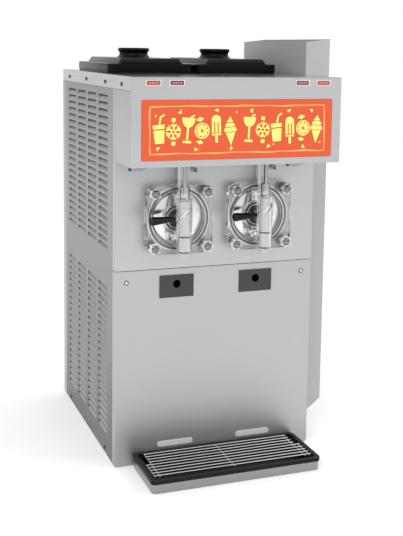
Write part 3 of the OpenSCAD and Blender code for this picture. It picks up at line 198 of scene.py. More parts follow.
# Each row: name, colour, metal, range of roughness, scale and stretch of the grain, its strength,
# scale and strength of the clouding, strength and depth in mm of the bump, then what is special.
M = {
    "sheet": material("brushed_sheet", (0.50, 0.505, 0.51), 1.0, (0.34, 0.46), 9.0,
                      BRUSH_ALONG_X, 0.07, 5.0, 0.10, 0.12, 0.03, low=0.3),
    # the left side: a darker copy of the same sheet, painted shade, with strong painted shade from 0.62 m
    # down
    "sheet_side": material("brushed_side_painted_shade", (0.35, 0.354, 0.357), 1.0, (0.36, 0.46), 9.0,
                           BRUSH_ALONG_X, 0.05, 5.0, 0.05, 0.12, 0.03,
                           low=0.9, painted_shade_top=0.62),
    # the front sheet in two copies: a lighter one for the upper panel and header, and a darker one with
    # painted shade for the lower panel
    "sheet_front": material("brushed_front", (0.535, 0.54, 0.545), 1.0, (0.38, 0.48), 9.0,
                            BRUSH_ALONG_X, 0.045, 4.0, 0.04, 0.12, 0.03),
    "sheet_low": material("brushed_low_painted_shade", (0.50, 0.505, 0.51), 1.0, (0.38, 0.48), 9.0,
                          BRUSH_ALONG_X, 0.045, 4.0, 0.04, 0.12, 0.03, low=0.3),
    "sheet_top": material("brushed_top", (0.52, 0.52, 0.52), 1.0, (0.12, 0.17), 9.0,
                          BRUSH_ACROSS_TOP, 0.05, 6.0, 0.05, 0.08, 0.02),
    "sheet_up": material("brushed_upright", (0.55, 0.555, 0.56), 1.0, (0.64, 0.74), 9.0,
                         BRUSH_UP, 0.05, 5.0, 0.05, 0.12, 0.03),
    "bright": material("bright_steel", (0.74, 0.745, 0.75), 1.0, (0.10, 0.2), 40.0,
                       (4, 4, 60), 0.04, 30.0, 0.04, 0.06, 0.02),
    # painted light: the bore is paler than steel so the insides of the cylinders read bright through the
    # doors
    "bore": material("honed_bore_painted_light", (0.95, 0.95, 0.95), 1.0, (0.34, 0.44), 12.0,
                     (60, 3, 60), 0.03, 20.0, 0.08, 0.15, 0.03),
    "cast": material("cast_dasher", (0.50, 0.505, 0.51), 1.0, (0.24, 0.4), 700.0,
                     None, 0.12, 30.0, 0.15, 0.3, 0.1),
    "paint": material("frame_paint", (0.27, 0.28, 0.29), 0.0, (0.4, 0.55), 600.0,
                      None, 0.06, 9.0, 0.12, 0.25, 0.08, wear=(0.5, 0.5, 0.5)),
    "screw": material("screw_steel", (0.10, 0.105, 0.11), 1.0, (0.3, 0.45), 1500.0,
                      None, 0.1, 60.0, 0.1, 0.2, 0.03),
    # painted glow: the sign face has a faint emission, though it is no lamp
    "sign": material("sign_face", (0.68, 0.095, 0.03), 0.0, (0.34, 0.44), 1200.0,
                     None, 0.015, 3.0, 0.03, 0.08, 0.02, Specular_IOR_Level=0.3,
                     Emission_Color=(0.9, 0.16, 0.06, 1), Emission_Strength=0.03),
    # painted glow: the yellow ink has a faint emission
    "ink_yellow": material("ink_yellow", (0.98, 0.86, 0.19), 0.0, (0.4, 0.5), 1500.0,
                           None, 0.02, 12.0, 0.05, 0.1, 0.02,
                           Emission_Color=(1.0, 0.88, 0.2, 1), Emission_Strength=0.08),
    "ink_blue": material("ink_blue", (0.02, 0.14, 0.28), 0.0, (0.4, 0.5), 1500.0,
                         None, 0.04, 60.0, 0.1, 0.1, 0.02),
    "ink_grey": material("ink_grey", (0.28, 0.36, 0.42), 0.0, (0.4, 0.5), 1500.0,
                         None, 0.04, 60.0, 0.1, 0.1, 0.02),
    # painted glow: the orange border ink has a faint emission
    "ink_border": material("ink_border", (0.98, 0.40, 0.15), 0.0, (0.4, 0.5), 1500.0,
                           None, 0.05, 25.0, 0.12, 0.1, 0.02,
                           Emission_Color=(1.0, 0.4, 0.15, 1), Emission_Strength=0.06),
    "lamp": material("lamp_glass", (0.85, 0.85, 0.82), 0.0, (0.25, 0.35), 500.0,
                     None, 0.02, 20.0, 0.04, 0.1, 0.02),
    "bezel": material("bezel_white", (0.72, 0.70, 0.67), 0.0, (0.3, 0.4), 1500.0,
                      None, 0.03, 60.0, 0.06, 0.1, 0.02),
    # painted light: the toggles are a lighter copy of the hanger plastic, to lift the shade under the
    # header
    "toggle": material("toggle_plastic_painted_light", (0.84, 0.845, 0.84), 0.0, (0.3, 0.4), 1400.0,
                       None, 0.03, 30.0, 0.06, 0.12, 0.03),
    "lens_red": material("lens_red", (0.42, 0.05, 0.022), 0.0, (0.12, 0.2), 1500.0,
                         None, 0.08, 160.0, 0.15, 0.1, 0.02),
    "lens_mark": material("lens_mark", (0.72, 0.30, 0.24), 0.0, (0.3, 0.4), 1500.0,
                          None, 0.05, 160.0, 0.1, 0.1, 0.02),
    "lens_maroon": material("lens_maroon", (0.19, 0.02, 0.055), 0.0, (0.12, 0.2), 1500.0,
                            None, 0.08, 160.0, 0.15, 0.1, 0.02),
    "foam": material("jacket_foam", (0.03, 0.03, 0.032), 0.0, (0.75, 0.9), 500.0,
                     None, 0.12, 30.0, 0.15, 0.6, 0.4),
    "gear": material("gearbox_paint", (0.10, 0.12, 0.14), 0.0, (0.35, 0.5), 700.0,
                     None, 0.1, 14.0, 0.15, 0.3, 0.1, wear=(0.35, 0.36, 0.37)),
    "compressor": material("compressor_paint", (0.015, 0.015, 0.016), 0.0, (0.18, 0.32),
                           400.0, None, 0.2, 14.0, 0.2, 0.2, 0.1, wear=(0.1, 0.1, 0.1)),
    "fins": material("fin_aluminium", (0.22, 0.22, 0.22), 1.0, (0.35, 0.5), 9.0,
                     (3, 3, 300), 0.1, 15.0, 0.1, 0.3, 0.1),
    "box": material("box_paint", (0.42, 0.43, 0.44), 0.0, (0.4, 0.52), 900.0,
                    None, 0.05, 12.0, 0.08, 0.3, 0.06),
    "copper": material("copper_tube", (0.66, 0.27, 0.13), 1.0, (0.3, 0.5), 300.0,
                       None, 0.1, 25.0, 0.25, 0.1, 0.04),
    "clear": material("clear_moulding", (0.965, 0.975, 0.975), 0.0, (0.02, 0.06), 250.0,
                      None, 0.01, 12.0, 0.015, 0.03, 0.02,
                      Transmission_Weight=1.0, IOR=1.49),
    "frosted": material("frosted_valve", (0.96, 0.965, 0.965), 0.0, (0.2, 0.3), 900.0,
                        None, 0.01, 30.0, 0.02, 0.1, 0.03,
                        Transmission_Weight=0.1, IOR=1.47),
    "rubber": material("black_rubber", (0.02, 0.02, 0.02), 0.0, (0.5, 0.65), 1200.0,
                       None, 0.25, 40.0, 0.2, 0.3, 0.05),
    "gasket": material("gasket_rubber", (0.16, 0.16, 0.16), 0.0, (0.45, 0.6), 1200.0,
                       None, 0.2, 25.0, 0.3, 0.3, 0.05),
    "knob": material("white_knob", (0.74, 0.75, 0.745), 0.0, (0.28, 0.38), 1400.0,
                     None, 0.02, 50.0, 0.05, 0.12, 0.03),
    "hanger": material("hanger_plastic", (0.62, 0.63, 0.62), 0.0, (0.35, 0.45), 1400.0,
                       None, 0.03, 30.0, 0.06, 0.15, 0.03),
    "lid": material("lid_plastic", (0.003, 0.0033, 0.0033), 0.0, (0.16, 0.26), 1100.0,
                    None, 0.25, 14.0, 0.25, 0.1, 0.03, wear=(0.02, 0.02, 0.02),
                    Specular_IOR_Level=0.12),
    "grip": material("grip_plastic", (0.004, 0.004, 0.0045), 0.0, (0.2, 0.3), 1300.0,
                     None, 0.2, 50.0, 0.2, 0.15, 0.03, wear=(0.03, 0.03, 0.03),
                     Specular_IOR_Level=0.2),
    "rim": material("rim_plastic", (0.006, 0.006, 0.0065), 0.0, (0.28, 0.4), 1100.0,
                    None, 0.25, 18.0, 0.25, 0.25, 0.06, wear=(0.04, 0.04, 0.04),
                    Specular_IOR_Level=0.16),
    "pan": material("pan_plastic", (0.036, 0.038, 0.037), 0.0, (0.36, 0.48), 1500.0,
                    None, 0.12, 25.0, 0.15, 0.35, 0.06),
    "tray": material("tray_steel", (0.325, 0.33, 0.335), 1.0, (0.25, 0.36), 9.0,
                     BRUSH_ALONG_X, 0.05, 6.0, 0.06, 0.1, 0.03),
    "mirror": material("polished_plate", (0.86, 0.865, 0.87), 1.0, (0.1, 0.16), 30.0,
                       None, 0.02, 25.0, 0.04, 0.04, 0.01),
    "end_ring": material("end_ring_steel", (0.86, 0.865, 0.87), 1.0, (0.4, 0.5), 600.0,
                         None, 0.03, 30.0, 0.06, 0.1, 0.03),
    # painted shade: the polished steel caps are given a dark colour in place of their darker reflections
    "cap": material("domed_cap_painted_shade", (0.24, 0.245, 0.24), 1.0, (0.10, 0.16), 600.0,
                    None, 0.06, 60.0, 0.1, 0.06, 0.02),
    "turned": material("turned_stem", (0.50, 0.505, 0.51), 1.0, (0.06, 0.12), 40.0,
                       (4, 4, 60), 0.05, 30.0, 0.06, 0.06, 0.02),
    "wire": material("grille_wire", (0.72, 0.725, 0.73), 1.0, (0.14, 0.24), 300.0,
                     (30, 3, 3), 0.05, 20.0, 0.06, 0.06, 0.02),
}

LOOKS = {
    "sheet_side": "left_panel",
    "sheet": "right_panel rear_panel base_pan",
    "sheet_front": "upper_front_panel header_shell",
    "sheet_low": "lower_front_panel",
    "sheet_top": "top_cover",
    "sheet_up": "air_duct",
    "bright": "hopper_left hopper_right door_studs prime_plug_left prime_plug_right "
              "stem_left stem_right",
    "bore": "cylinder_left cylinder_right",
    "cast": "dasher_left dasher_right",
    "paint": "frame fan_shroud",
    "screw": "panel_screws",
    "sign": "sign_panel",
    "lamp": "sign_lamp",
    "bezel": "lens_bezels",
    "foam": "insulation_jackets",
    "gear": "gear_units beater_motors fan_motor",
    "compressor": "compressor",
    "fins": "condenser fan",
    "box": "control_box",
    "copper": "refrigerant_lines",
    "clear": "door_left door_right",
    "frosted": "valve_left valve_right",
    "rubber": "valve_rings_left valve_rings_right cord_gland",
    "gasket": "door_gaskets",
    "knob": "scraper_blades_left scraper_blades_right handscrews",
    "hanger": "tray_hangers switches",
    "toggle": "toggle_left toggle_right",
    "lens_red": "indicator_lenses",
    "lid": "lid_left lid_right",
    "grip": "handle_left handle_right",
    "rim": "tray_rim",
    "pan": "drip_pan_left drip_pan_right",
    "tray": "drip_tray",
    "wire": "tray_grille",
}
for look, names in LOOKS.items():
    for name in names.split():
        node = nodes[name]
        node.data.materials.clear()
        node.data.materials.append(M[look])


SAME_POINT = 0.002 * MM
FLAT, FOLD = math.radians(1), math.radians(35)


def soften(name, width, segments=2):
    """Rounds the sharp edges of a carried-over CAD node a little, as folded sheet has them."""
    obj = nodes[name]
    obj.modifiers.new("weld", "WELD").merge_threshold = SAME_POINT
    flat = obj.modifiers.new("flat", "DECIMATE")
    flat.decimate_type, flat.angle_limit = "DISSOLVE", FLAT
    round_off = obj.modifiers.new("round", "BEVEL")
    round_off.width, round_off.segments = width * MM, segments
    round_off.limit_method, round_off.angle_limit = "ANGLE", FOLD
    round_off.use_clamp_overlap = False
    obj.modifiers.new("shade", "WEIGHTED_NORMAL")


# ---- mesh makers ----
def piece(name, verts, faces, body, look, finish=None, replaces=(), smooth=30):
    """A visual object that rides on a body; smooth is the angle in degrees that still looks round."""
    data = bpy.data.meshes.new(name)
    data.from_pydata([tuple(v) for v in verts], [], faces)
    clean = bmesh.new()
    clean.from_mesh(data)
    bmesh.ops.recalc_face_normals(clean, faces=clean.faces)
    clean.to_mesh(data)
    clean.free()
    data.validate()
    obj = link(bpy.data.objects.new(name, data))
    data.materials.append(M[look])
    if smooth:
        data.shade_smooth()
        data.set_sharp_from_angle(angle=math.radians(smooth))
    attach(obj, body)
    if replaces:
        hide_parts(*replaces)
    return obj


class Build:
    """Gathers vertices and faces of several closed shapes into one piece."""

    def __init__(self):
        self.verts, self.faces = [], []

    def add(self, verts, faces):
        start = len(self.verts)
        self.verts += [Vector(v) for v in verts]
        self.faces += [tuple(i + start for i in f) for f in faces]
        return self

    def loft(self, rings, closed=False):
        """Rings of the same number of points; both ends are capped unless closed on itself."""
        n, m = len(rings[0]), len(rings)
        verts = [p for ring in rings for p in ring]
        faces = []
        for i in range(m if closed else m - 1):
            j = (i + 1) % m
            for k in range(n):
                k2 = (k + 1) % n
                faces.append((i * n + k, i * n + k2, j * n + k2, j * n + k))
        if not closed:
            faces.append(tuple(range(n))[::-1])
            faces.append(tuple((m - 1) * n + k for k in range(n)))
        return self.add(verts, faces)

    def lathe(self, profile, place, segments=48, wave=None):
        """profile is (height, radius) pairs along +Z of place, from axis to axis."""
        rings = []
        for h, r in profile:
            ring = []
            for k in range(segments):
                a = 2 * math.pi * k / segments
                rr = wave(a, r) if wave else r
                ring.append(place @ Vector((rr * math.cos(a) * MM, rr * math.sin(a) * MM, h * MM)))
            rings.append(ring)
        return self.loft(rings)

    def slab(self, outline, y, thick):
        """A thin plate: outline in X and Z, metres, its back at y and its face nearer the viewer."""
        n = len(outline)
        verts = [(x, y, z) for x, z in outline] + [(x, y - thick, z) for x, z in outline]
        faces = [tuple(range(n)), tuple(range(2 * n - 1, n - 1, -1))]
        faces += [(k, (k + 1) % n, n + (k + 1) % n, n + k) for k in range(n)]
        return self.add(verts, faces)

    def make(self, name, *args, **kw):
        return piece(name, self.verts, self.faces, *args, **kw)


def aim(origin, direction):
    """A frame at origin whose +Z points along direction."""
    turn = Vector(direction).normalized().to_track_quat("Z", "Y").to_matrix().to_4x4()
    return Matrix.Translation(Vector(origin)) @ turn


def rounded(w, h, r, steps=6):
    """Points round a rounded rectangle, centred, in millimetres."""
    pts = []
    for cx, cy, a0 in ((1, 1, 0), (-1, 1, 90), (-1, -1, 180), (1, -1, 270)):
        for i in range(steps + 1):
            a = math.radians(a0 + 90 * i / steps)
            pts.append((cx * (w / 2 - r) + r * math.cos(a), cy * (h / 2 - r) + r * math.sin(a)))
    return pts


def fillet(height, radius, steps=4):
    """(inset, height) pairs of a quarter round that ends a wall at height."""
    turns = [math.pi / 2 * i / steps for i in range(steps + 1)]
    return [(radius * (1 - math.cos(a)), height - radius + radius * math.sin(a)) for a in turns]


def box_outline(x0, x1, z0, z1):
    return [(x0, z0), (x1, z0), (x1, z1), (x0, z1)]


# ---- softened edges on the sheet-metal nodes ----
for name in ("upper_front_panel", "lower_front_panel", "header_shell", "top_cover",
             "rear_panel", "right_panel", "base_pan"):
    soften(name, 0.5)
for name in ("tray_rim", "drip_tray", "drip_pan_left", "drip_pan_right", "lens_bezels"):
    soften(name, 0.4)
soften("tray_hangers", 1.5, 3)

# ---- hopper lids: a skirt, a raised step and a moulded knob; heights from the lid's foot, in mm ----
SKIRT_H, STEP_H = 21.4, 33.4
STEP_W, STEP_SHORTER, STEP_LEAN = 154.0, 4.0, 5.2
LID_CORNER, STEP_FOOT_CORNER, STEP_CORNER = 20.0, 17.0, 16.0
# (inset, height) up the skirt: ceiling, inner wall, foot on the deck, rounded lower edge
SKIRT = ((3.2, 18.2), (3.0, 0), (2.2, 0), (2.2, 1.2), (1.2, 2), (0.4, 3.4), (0, 5.5), (0, 17))


def lid_ring(mid, plan, inset, z, corner=LID_CORNER):
    """One level of a lid at z mm: a rounded plan, pulled in by inset."""
    w, d = plan
    return [Vector((mid.x + px * MM, mid.y + py * MM, z * MM))
            for px, py in rounded(w - 2 * inset, d - 2 * inset, max(corner - inset, 2.0))]


def lid_rings(mid, plan, foot):
    skirt_top, step_top = foot + SKIRT_H, foot + STEP_H
    step_d = plan[1] - STEP_SHORTER
    wall = (STEP_W - 1, step_d - 1)
    rings = [lid_ring(mid, plan, inset, foot + h) for inset, h in SKIRT]
    rings += [lid_ring(mid, plan, inset, z) for inset, z in fillet(skirt_top, 3.2)]
    rings += [lid_ring(mid, (STEP_W + 2.4, step_d + 1.2), 0, skirt_top + 0.1, STEP_FOOT_CORNER),
              lid_ring(mid, (STEP_W, step_d), 0, skirt_top + 1.2, STEP_CORNER),
              lid_ring(mid, wall, 0, skirt_top + 3, STEP_CORNER)]
    rings += [lid_ring(mid, wall, STEP_LEAN * t, skirt_top + 3 + (STEP_H - SKIRT_H - 5.5) * t, STEP_CORNER)
              for t in (0.5, 1.0)]
    rings += [lid_ring(mid, wall, STEP_LEAN + inset, z, STEP_CORNER)
              for inset, z in fillet(step_top, 2.5)]
    return rings


def knob_profile(base, top):
    """A waisted grip with a rolled rim and a shallow dish, from base to top."""
    return [(base - 0.8, 0.0), (base - 0.8, 41.5), (base + 0.4, 41.4), (base + 2, 39.6),
            (base + 4, 37.0), (base + 6.5, 35.2), (base + 8, 34.6), (top - 11, 34.6),
            (top - 9, 35.6), (top - 7.6, 37.3), (top - 6, 38.1), (top - 2.8, 38.2),
            (top - 1.1, 37.4), (top - 0.3, 36.0), (top, 34.2), (top, 30.0),
            (top - 0.9, 28.4), (top - 1.1, 27.0), (top - 1.1, 0.0)]


for side in SIDES:
    low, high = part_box("lid_" + side)
    mid = (low + high) / 2
    foot = low.z / MM
    lid = Build().loft(lid_rings(mid, ((high.x - low.x) / MM, (high.y - low.y) / MM), foot))
    lid.lathe(knob_profile(foot + STEP_H, high.z / MM), aim((mid.x, mid.y, 0), (0, 0, 1)), 64)
    lid.make("lid_shell_" + side, "hopper_lid_" + side, "lid", "black_plastic",
             ("lid_" + side,), smooth=40)

# ---- handscrews: lobed white knobs with domed steel caps ----
KNOB = [(0, 0), (0, 11.2), (0.5, 11.9), (1.5, 12.4), (3, 12.55), (9, 12.4), (11, 12.1), (12.2, 11.3),
        (12.9, 10.2), (13.0, 9.4), (12.4, 8.85), (12.0, 8.8), (12.0, 0)]
CAP = [(12.05, 0), (12.05, 8.5), (12.7, 8.6), (13.3, 8.5), (14.1, 8.1), (15.0, 7.2), (15.8, 5.6),
       (16.2, 3.6), (16.35, 1.6), (16.4, 0)]
LOBE_FROM, LOBE_RISE, LOBE_COUNT = 8.9, 1.55, 6


def lobes(a, r):
    """Scallops the rim of a knob, and leaves the middle round."""
    if r < LOBE_FROM:
        return r
    return r + LOBE_RISE * math.cos(LOBE_COUNT * a) * min(1.0, (r - 8.5) / 3)


knobs, domes = Build(), Build()
base_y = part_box("handscrews")[1].y
for side in SIDES:
    unit = UNIT[side]
    for sx in (-1, 1):
        for sz in (-1, 1):
            at = aim((unit["x"] + sx * STUD_OFF, base_y, unit["axis_z"] + sz * STUD_OFF), (0, -1, 0))
            # each knob was tightened to an angle of its own
            at = at @ Matrix.Rotation(0.35 * sx + 0.6 * sz + unit["x"] * 9, 4, "Z")
            knobs.lathe(KNOB, at, 72, lobes)
            domes.lathe(CAP, at, 40)
knobs.make("handscrew_knobs", "cabinet", "knob", "white_plastic", ("handscrews",), smooth=40)
domes.make("handscrew_caps", "cabinet", "cap", "polished_stainless", smooth=40)

# ---- panel screws: dark heads on the sides, bright heads with a dark washer in front ----
HEAD = [(-0.2, 0), (-0.2, 4.6), (0.5, 4.6), (1.5, 4.1), (2.2, 3.0), (2.4, 1.9), (1.2, 1.7), (1.2, 0)]
BUTTON = [(0.5, 0), (0.5, 3.6), (1.2, 3.6), (1.9, 3.1), (2.3, 2.2), (2.4, 1.9), (1.3, 1.7), (1.3, 0)]
WASHER = [(-0.2, 0), (-0.2, 5.4), (0.4, 5.4), (0.6, 5.1), (0.6, 0)]
SOCKET_R = 1.95
COVER_SCREW_Z, FOOT_SCREW_Z = 850, 13.7
# (back from the front panel, height) of each screw on a side, in mm
SIDE_SCREWS = [(back, COVER_SCREW_Z) for back in (-49.6, 84.8, 260.4, 438.6)]
SIDE_SCREWS += [(back, FOOT_SCREW_Z) for back in (86.7, 434)]
FRONT_SCREW_X, FRONT_SCREW_Z = 209.3, 417


def hexagon(a, r):
    """Turns the small middle circles of a screw head into a hexagonal socket."""
    if r > SOCKET_R:
        return r
    third = math.pi / 3
    return r * math.cos(third / 2) / math.cos((a % third) - third / 2)


dark_heads, bright_heads = Build(), Build()
side_x = abs(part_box("left_panel")[0].x)
for sx in (-1, 1):
    for back, z in SIDE_SCREWS:
        dark_heads.lathe(HEAD, aim((sx * side_x, PANEL_Y + back * MM, z * MM), (sx, 0, 0)), 24, hexagon)
    at = aim((sx * FRONT_SCREW_X * MM, PANEL_Y, FRONT_SCREW_Z * MM), (0, -1, 0))
    dark_heads.lathe(WASHER, at, 24)
    bright_heads.lathe(BUTTON, at, 24, hexagon)
dark_heads.make("panel_screw_heads", "cabinet", "screw", "screw_steel", ("panel_screws",), smooth=35)
bright_heads.make("front_screw_buttons", "cabinet", "bright", "polished_stainless", smooth=35)

# ---- front of each dasher: polished plate, hub rings, black seal, ring behind the plate ----
# closed sections as (towards the viewer, radius) in mm, from the plate's face
PLATE = [(-0.2, 31.0), (0.3, 31.0), (0.3, 53.2), (0.1, 53.8), (-0.4, 53.9), (-0.4, 31.0)]
OUTER_RING = [(0.2, 31.0), (4.3, 31.0), (5.0, 30.5), (5.2, 29.6), (5.0, 28.2), (4.4, 27.6),
              (3.8, 27.6), (3.8, 28.6)]
INNER_RING = [(3.8, 24.4), (4.8, 24.4), (5.6, 23.8), (5.8, 22.6), (5.5, 21.4), (3.8, 21.2)]
END_RING = [(-8.4, 54.4), (-7.2, 54.6), (-7.0, 55.2), (-7.0, 60.6), (-7.2, 61.2), (-8.4, 61.4)]
SEAL = [(3.8, 27.9), (4.2, 27.8), (4.2, 24.2), (3.9, 24.0), (3.9, 21.5), (5.0, 21.3), (5.3, 20.6),
        (5.3, 14.2), (4.6, 13.6), (4.6, 11.4), (5.3, 10.8), (5.3, 8.8), (4.9, 8.3), (3.8, 8.3)]
NOSE_TO_PLATE = 4 * MM


def turned_ring(build, at, section, steps=64):
    """A ring swept round an axis from a closed section."""
    turns = [2 * math.pi * k / steps for k in range(steps)]
    build.loft([[at @ Vector((r * math.cos(a) * MM, r * math.sin(a) * MM, h * MM)) for a in turns]
                for h, r in section], closed=True)


for side in SIDES:
    unit, body = UNIT[side], "beater_" + side
    plate_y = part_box("dasher_" + side)[0].y + NOSE_TO_PLATE
    at = aim((unit["x"], plate_y, unit["axis_z"]), (0, -1, 0))
    face, seal, end_ring = Build(), Build(), Build()
    for section in (PLATE, OUTER_RING, INNER_RING):
        turned_ring(face, at, section)
    turned_ring(seal, at, SEAL)
    turned_ring(end_ring, at, END_RING)
    face.make("dasher_face_" + side, body, "mirror", "cast_stainless", smooth=35)
    seal.make("hub_seal_" + side, body, "rubber", "black_plastic", smooth=35)
    end_ring.make("dasher_end_ring_" + side, body, "end_ring", "cast_stainless", smooth=35)

# ---- two small generic labels under the header: blue square and grey lines ----
LABEL_X = (-206, 165)
LABEL_SQUARE = ((0, 662), (8, 662), (8, 673), (0, 671))
LABEL_LINES = ((11, 26), (11, 31), (12, 22))
LINE_TOP, LINE_STEP, LINE_H = 671, 3.6, 1.6
PRINT_T = 0.12 * MM


def on_panel(build, outline):
    """Prints an outline given in mm on the upper front panel."""
    build.slab([(x * MM, z * MM) for x, z in outline], PANEL_Y - PRINT_T, PRINT_T)


label_blue, label_grey = Build(), Build()
for x in LABEL_X:
    on_panel(label_blue, [(x + px, pz) for px, pz in LABEL_SQUARE])
    for k, (start, long) in enumerate(LABEL_LINES):
        top = LINE_TOP - LINE_STEP * k
        on_panel(label_grey, box_outline(x + start, x + start + long, top - LINE_H, top))
label_blue.make("label_squares", "cabinet", "ink_blue", "sign_face", smooth=0)
label_grey.make("label_lines", "cabinet", "ink_grey", "sign_face", smooth=0)

# ---- draw handles: steel pin, tapered black grip ----
REST_TURN = math.radians(196.0)
PIN = [(4.2, 0), (4.2, 2.7), (4.5, 3.0), (18, 3.0), (24.4, 4.6), (26, 4.6), (26, 0)]
GRIP = [(24.2, 0), (24.2, 4.4), (24.6, 4.8), (28.6, 5.4), (29.4, 5.6), (31, 5.75), (82.8, 9.3),
        (84.4, 9.38), (85.3, 9.0), (85.8, 8.3), (85.95, 7.4), (85.7, 6.6), (85.6, 0)]
for side in SIDES:
    unit, body, handle = UNIT[side], "draw_valve_" + side, "handle_" + side
    out = (math.cos(REST_TURN), math.sin(REST_TURN), 0)
    at = aim((unit["x"], unit["spigot_y"], centre(handle).z), out)
    pin, grip = Build().lathe(PIN, at, 24), Build().lathe(GRIP, at, 48)
    pin.make("handle_pin_" + side, body, "bright", "polished_stainless", smooth=40)
    grip.make("handle_grip_" + side, body, "grip", "black_plastic", (handle,), smooth=40)

# ---- valve stems ----
STEM_HEAD_H = 31.7


def stem_profile(foot, top):
    """A grooved foot, a chamfered head and a thin rod up to top."""
    head = foot + STEM_HEAD_H
    return [(foot, 0), (foot, 9.6), (foot + 0.7, 10.4), (foot + 3.4, 10.4), (foot + 3.8, 9.8),
            (foot + 4.8, 9.8), (foot + 5.2, 10.8), (foot + 5.8, 11), (head - 1.6, 11),
            (head - 0.5, 10.6), (head, 9.8), (head, 8.6), (head - 0.8, 7.6), (head - 0.8, 5.0),
            (head - 0.2, 4.75), (top - 0.8, 4.75), (top, 4.1), (top, 0)]


for side in SIDES:
    unit, stem = UNIT[side], "stem_" + side
    low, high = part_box(stem)
    at = aim((unit["x"], unit["spigot_y"], 0), (0, 0, 1))
    turned = Build().lathe(stem_profile(low.z / MM, high.z / MM), at, 48)
    turned.make("stem_turned_" + side, "valve_stem_" + side, "turned", "polished_stainless",
                (stem,), smooth=35)

# ---- indicator lenses, each with four plain dashes ----
LENS_X = (-189.0, -139.0, 142.0, 191.3)
LENS_LOOKS = ("lens_red", "lens_maroon", "lens_maroon", "lens_red")
LENS_W, LENS_H, LENS_CORNER = 28.4, 8.2, 1.5
# (inset, behind the lens's face) from the back edge round to the face
LENS_EDGE = ((0.0, 7), (0.0, 1.1), (0.25, 0.5), (0.8, 0.1), (1.4, 0))
DASHES = ((-10.5, -6.5), (-4.6, -0.6), (1.3, 5.3), (7.2, 10.4))
DASH_HALF = 1.3
lens_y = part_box("indicator_lenses")[0].y
lens_z = centre("indicator_lenses").z / MM
for k, (x, look) in enumerate(zip(LENS_X, LENS_LOOKS)):
    lens, marks = Build(), Build()
    lens.loft([[Vector(((x + px) * MM, lens_y + back * MM, (lens_z + pz) * MM))
                for px, pz in rounded(LENS_W - 2 * inset, LENS_H - 2 * inset, LENS_CORNER - inset / 2)]
               for inset, back in LENS_EDGE])
    for x0, x1 in DASHES:
        dash = box_outline(x + x0, x + x1, lens_z - DASH_HALF, lens_z + DASH_HALF)
        marks.slab([(px * MM, pz * MM) for px, pz in dash], lens_y - 0.002 * MM, 0.05 * MM)
    marks.make(f"lens_marks_{k + 1}", "cabinet", "lens_mark", "lens_red", smooth=0)
    lens.make(f"indicator_lens_{k + 1}", "cabinet", look, "lens_red",
              ("indicator_lenses",) if k == 0 else (), smooth=50)

# ---- printed sign: generic cold-drink pictures, drawn in mm round the sign's middle ----
INK_T = 0.11 * MM
PICTURE_SIZE = 1.12
ink = Build()


def poly(points, cx, cz, turn=0.0, size=PICTURE_SIZE, to=None):
    """Prints an outline with its own middle at cx, cz."""
    c, s = math.cos(turn), math.sin(turn)
    out = [((cx + size * (c * x - s * z)) * MM, SIGN_Z + (cz + size * (s * x + c * z)) * MM)
           for x, z in points]
    (to or ink).slab(out, SIGN_FACE_Y - 0.005 * MM, INK_T)


def bar(x0, z0, x1, z1, w, cx, cz, turn):
    """Prints a straight stroke of width w."""
    dx, dz = x1 - x0, z1 - z0
    k = w / 2 / math.hypot(dx, dz)
    px, pz = -dz * k, dx * k
    poly([(x0 + px, z0 + pz), (x0 - px, z0 - pz), (x1 - px, z1 - pz), (x1 + px, z1 + pz)],
         cx, cz, turn)


def tumbler(cx, cz, turn):
    poly([(-8.5, -26), (8.5, -26), (10.4, -2), (-10.4, -2)], cx, cz, turn)
    poly([(-10.7, 0.5), (10.7, 0.5), (11.3, 8), (-11.3, 8)], cx, cz, turn)
    bar(1.5, 9, 5, 22, 3.2, cx, cz, turn)
    bar(4.4, 21.5, 12.5, 26, 3.2, cx, cz, turn)


def snowflake(cx, cz, turn):
    for k in range(6):
        a = turn + k * math.pi / 3
        poly([(-1.6, 2.4), (1.6, 2.4), (1.6, 15), (-1.6, 15)], cx, cz, a)
        for s in (-1, 1):
            poly([(s * 1.4, 8.2), (s * 1.4, 11.6), (s * 5.6, 14.6), (s * 5.6, 11.4)], cx, cz, a)
    for dz in (-24, 24):
        poly([(-4, -3), (3.4, -3.8), (4, 3.2), (-3.4, 3.6)], cx, cz + dz, turn)


def coupe(cx, cz, turn):
    poly([(-12.5, 22), (12.5, 22), (11.6, 14), (7.5, 7), (1.9, 3.6), (1.9, -18), (-1.9, -18),
          (-1.9, 3.6), (-7.5, 7), (-11.6, 14)], cx, cz, turn)
    poly([(-9, -24.5), (9, -24.5), (7, -20), (-7, -20)], cx, cz, turn)
    bar(4, 23, 11, 27.5, 2.6, cx, cz, turn)


def slice_of_fruit(cx, cz, turn):
    peel, steps = (12.4, 14.6), 32
    for i in range(steps):
        a0, a1 = 2 * math.pi * i / steps, 2 * math.pi * (i + 1) / steps
        poly([(r * math.cos(a), r * math.sin(a))
              for r, a in ((peel[0], a0), (peel[1], a0), (peel[1], a1), (peel[0], a1))], cx, cz, turn)
    for k in range(8):
        a = turn + k * math.pi / 4
        poly([(0, 1.8), (3.4, 8.8), (2.6, 10.6), (0, 11.2), (-2.6, 10.6), (-3.4, 8.8)], cx, cz, a)
    poly([(-8, 21.5), (0, 17), (8, 21.5), (0, 26)], cx, cz, 0.2)
    poly([(-7, -21.5), (0, -25.5), (7, -21), (0, -17.5)], cx, cz, -0.2)


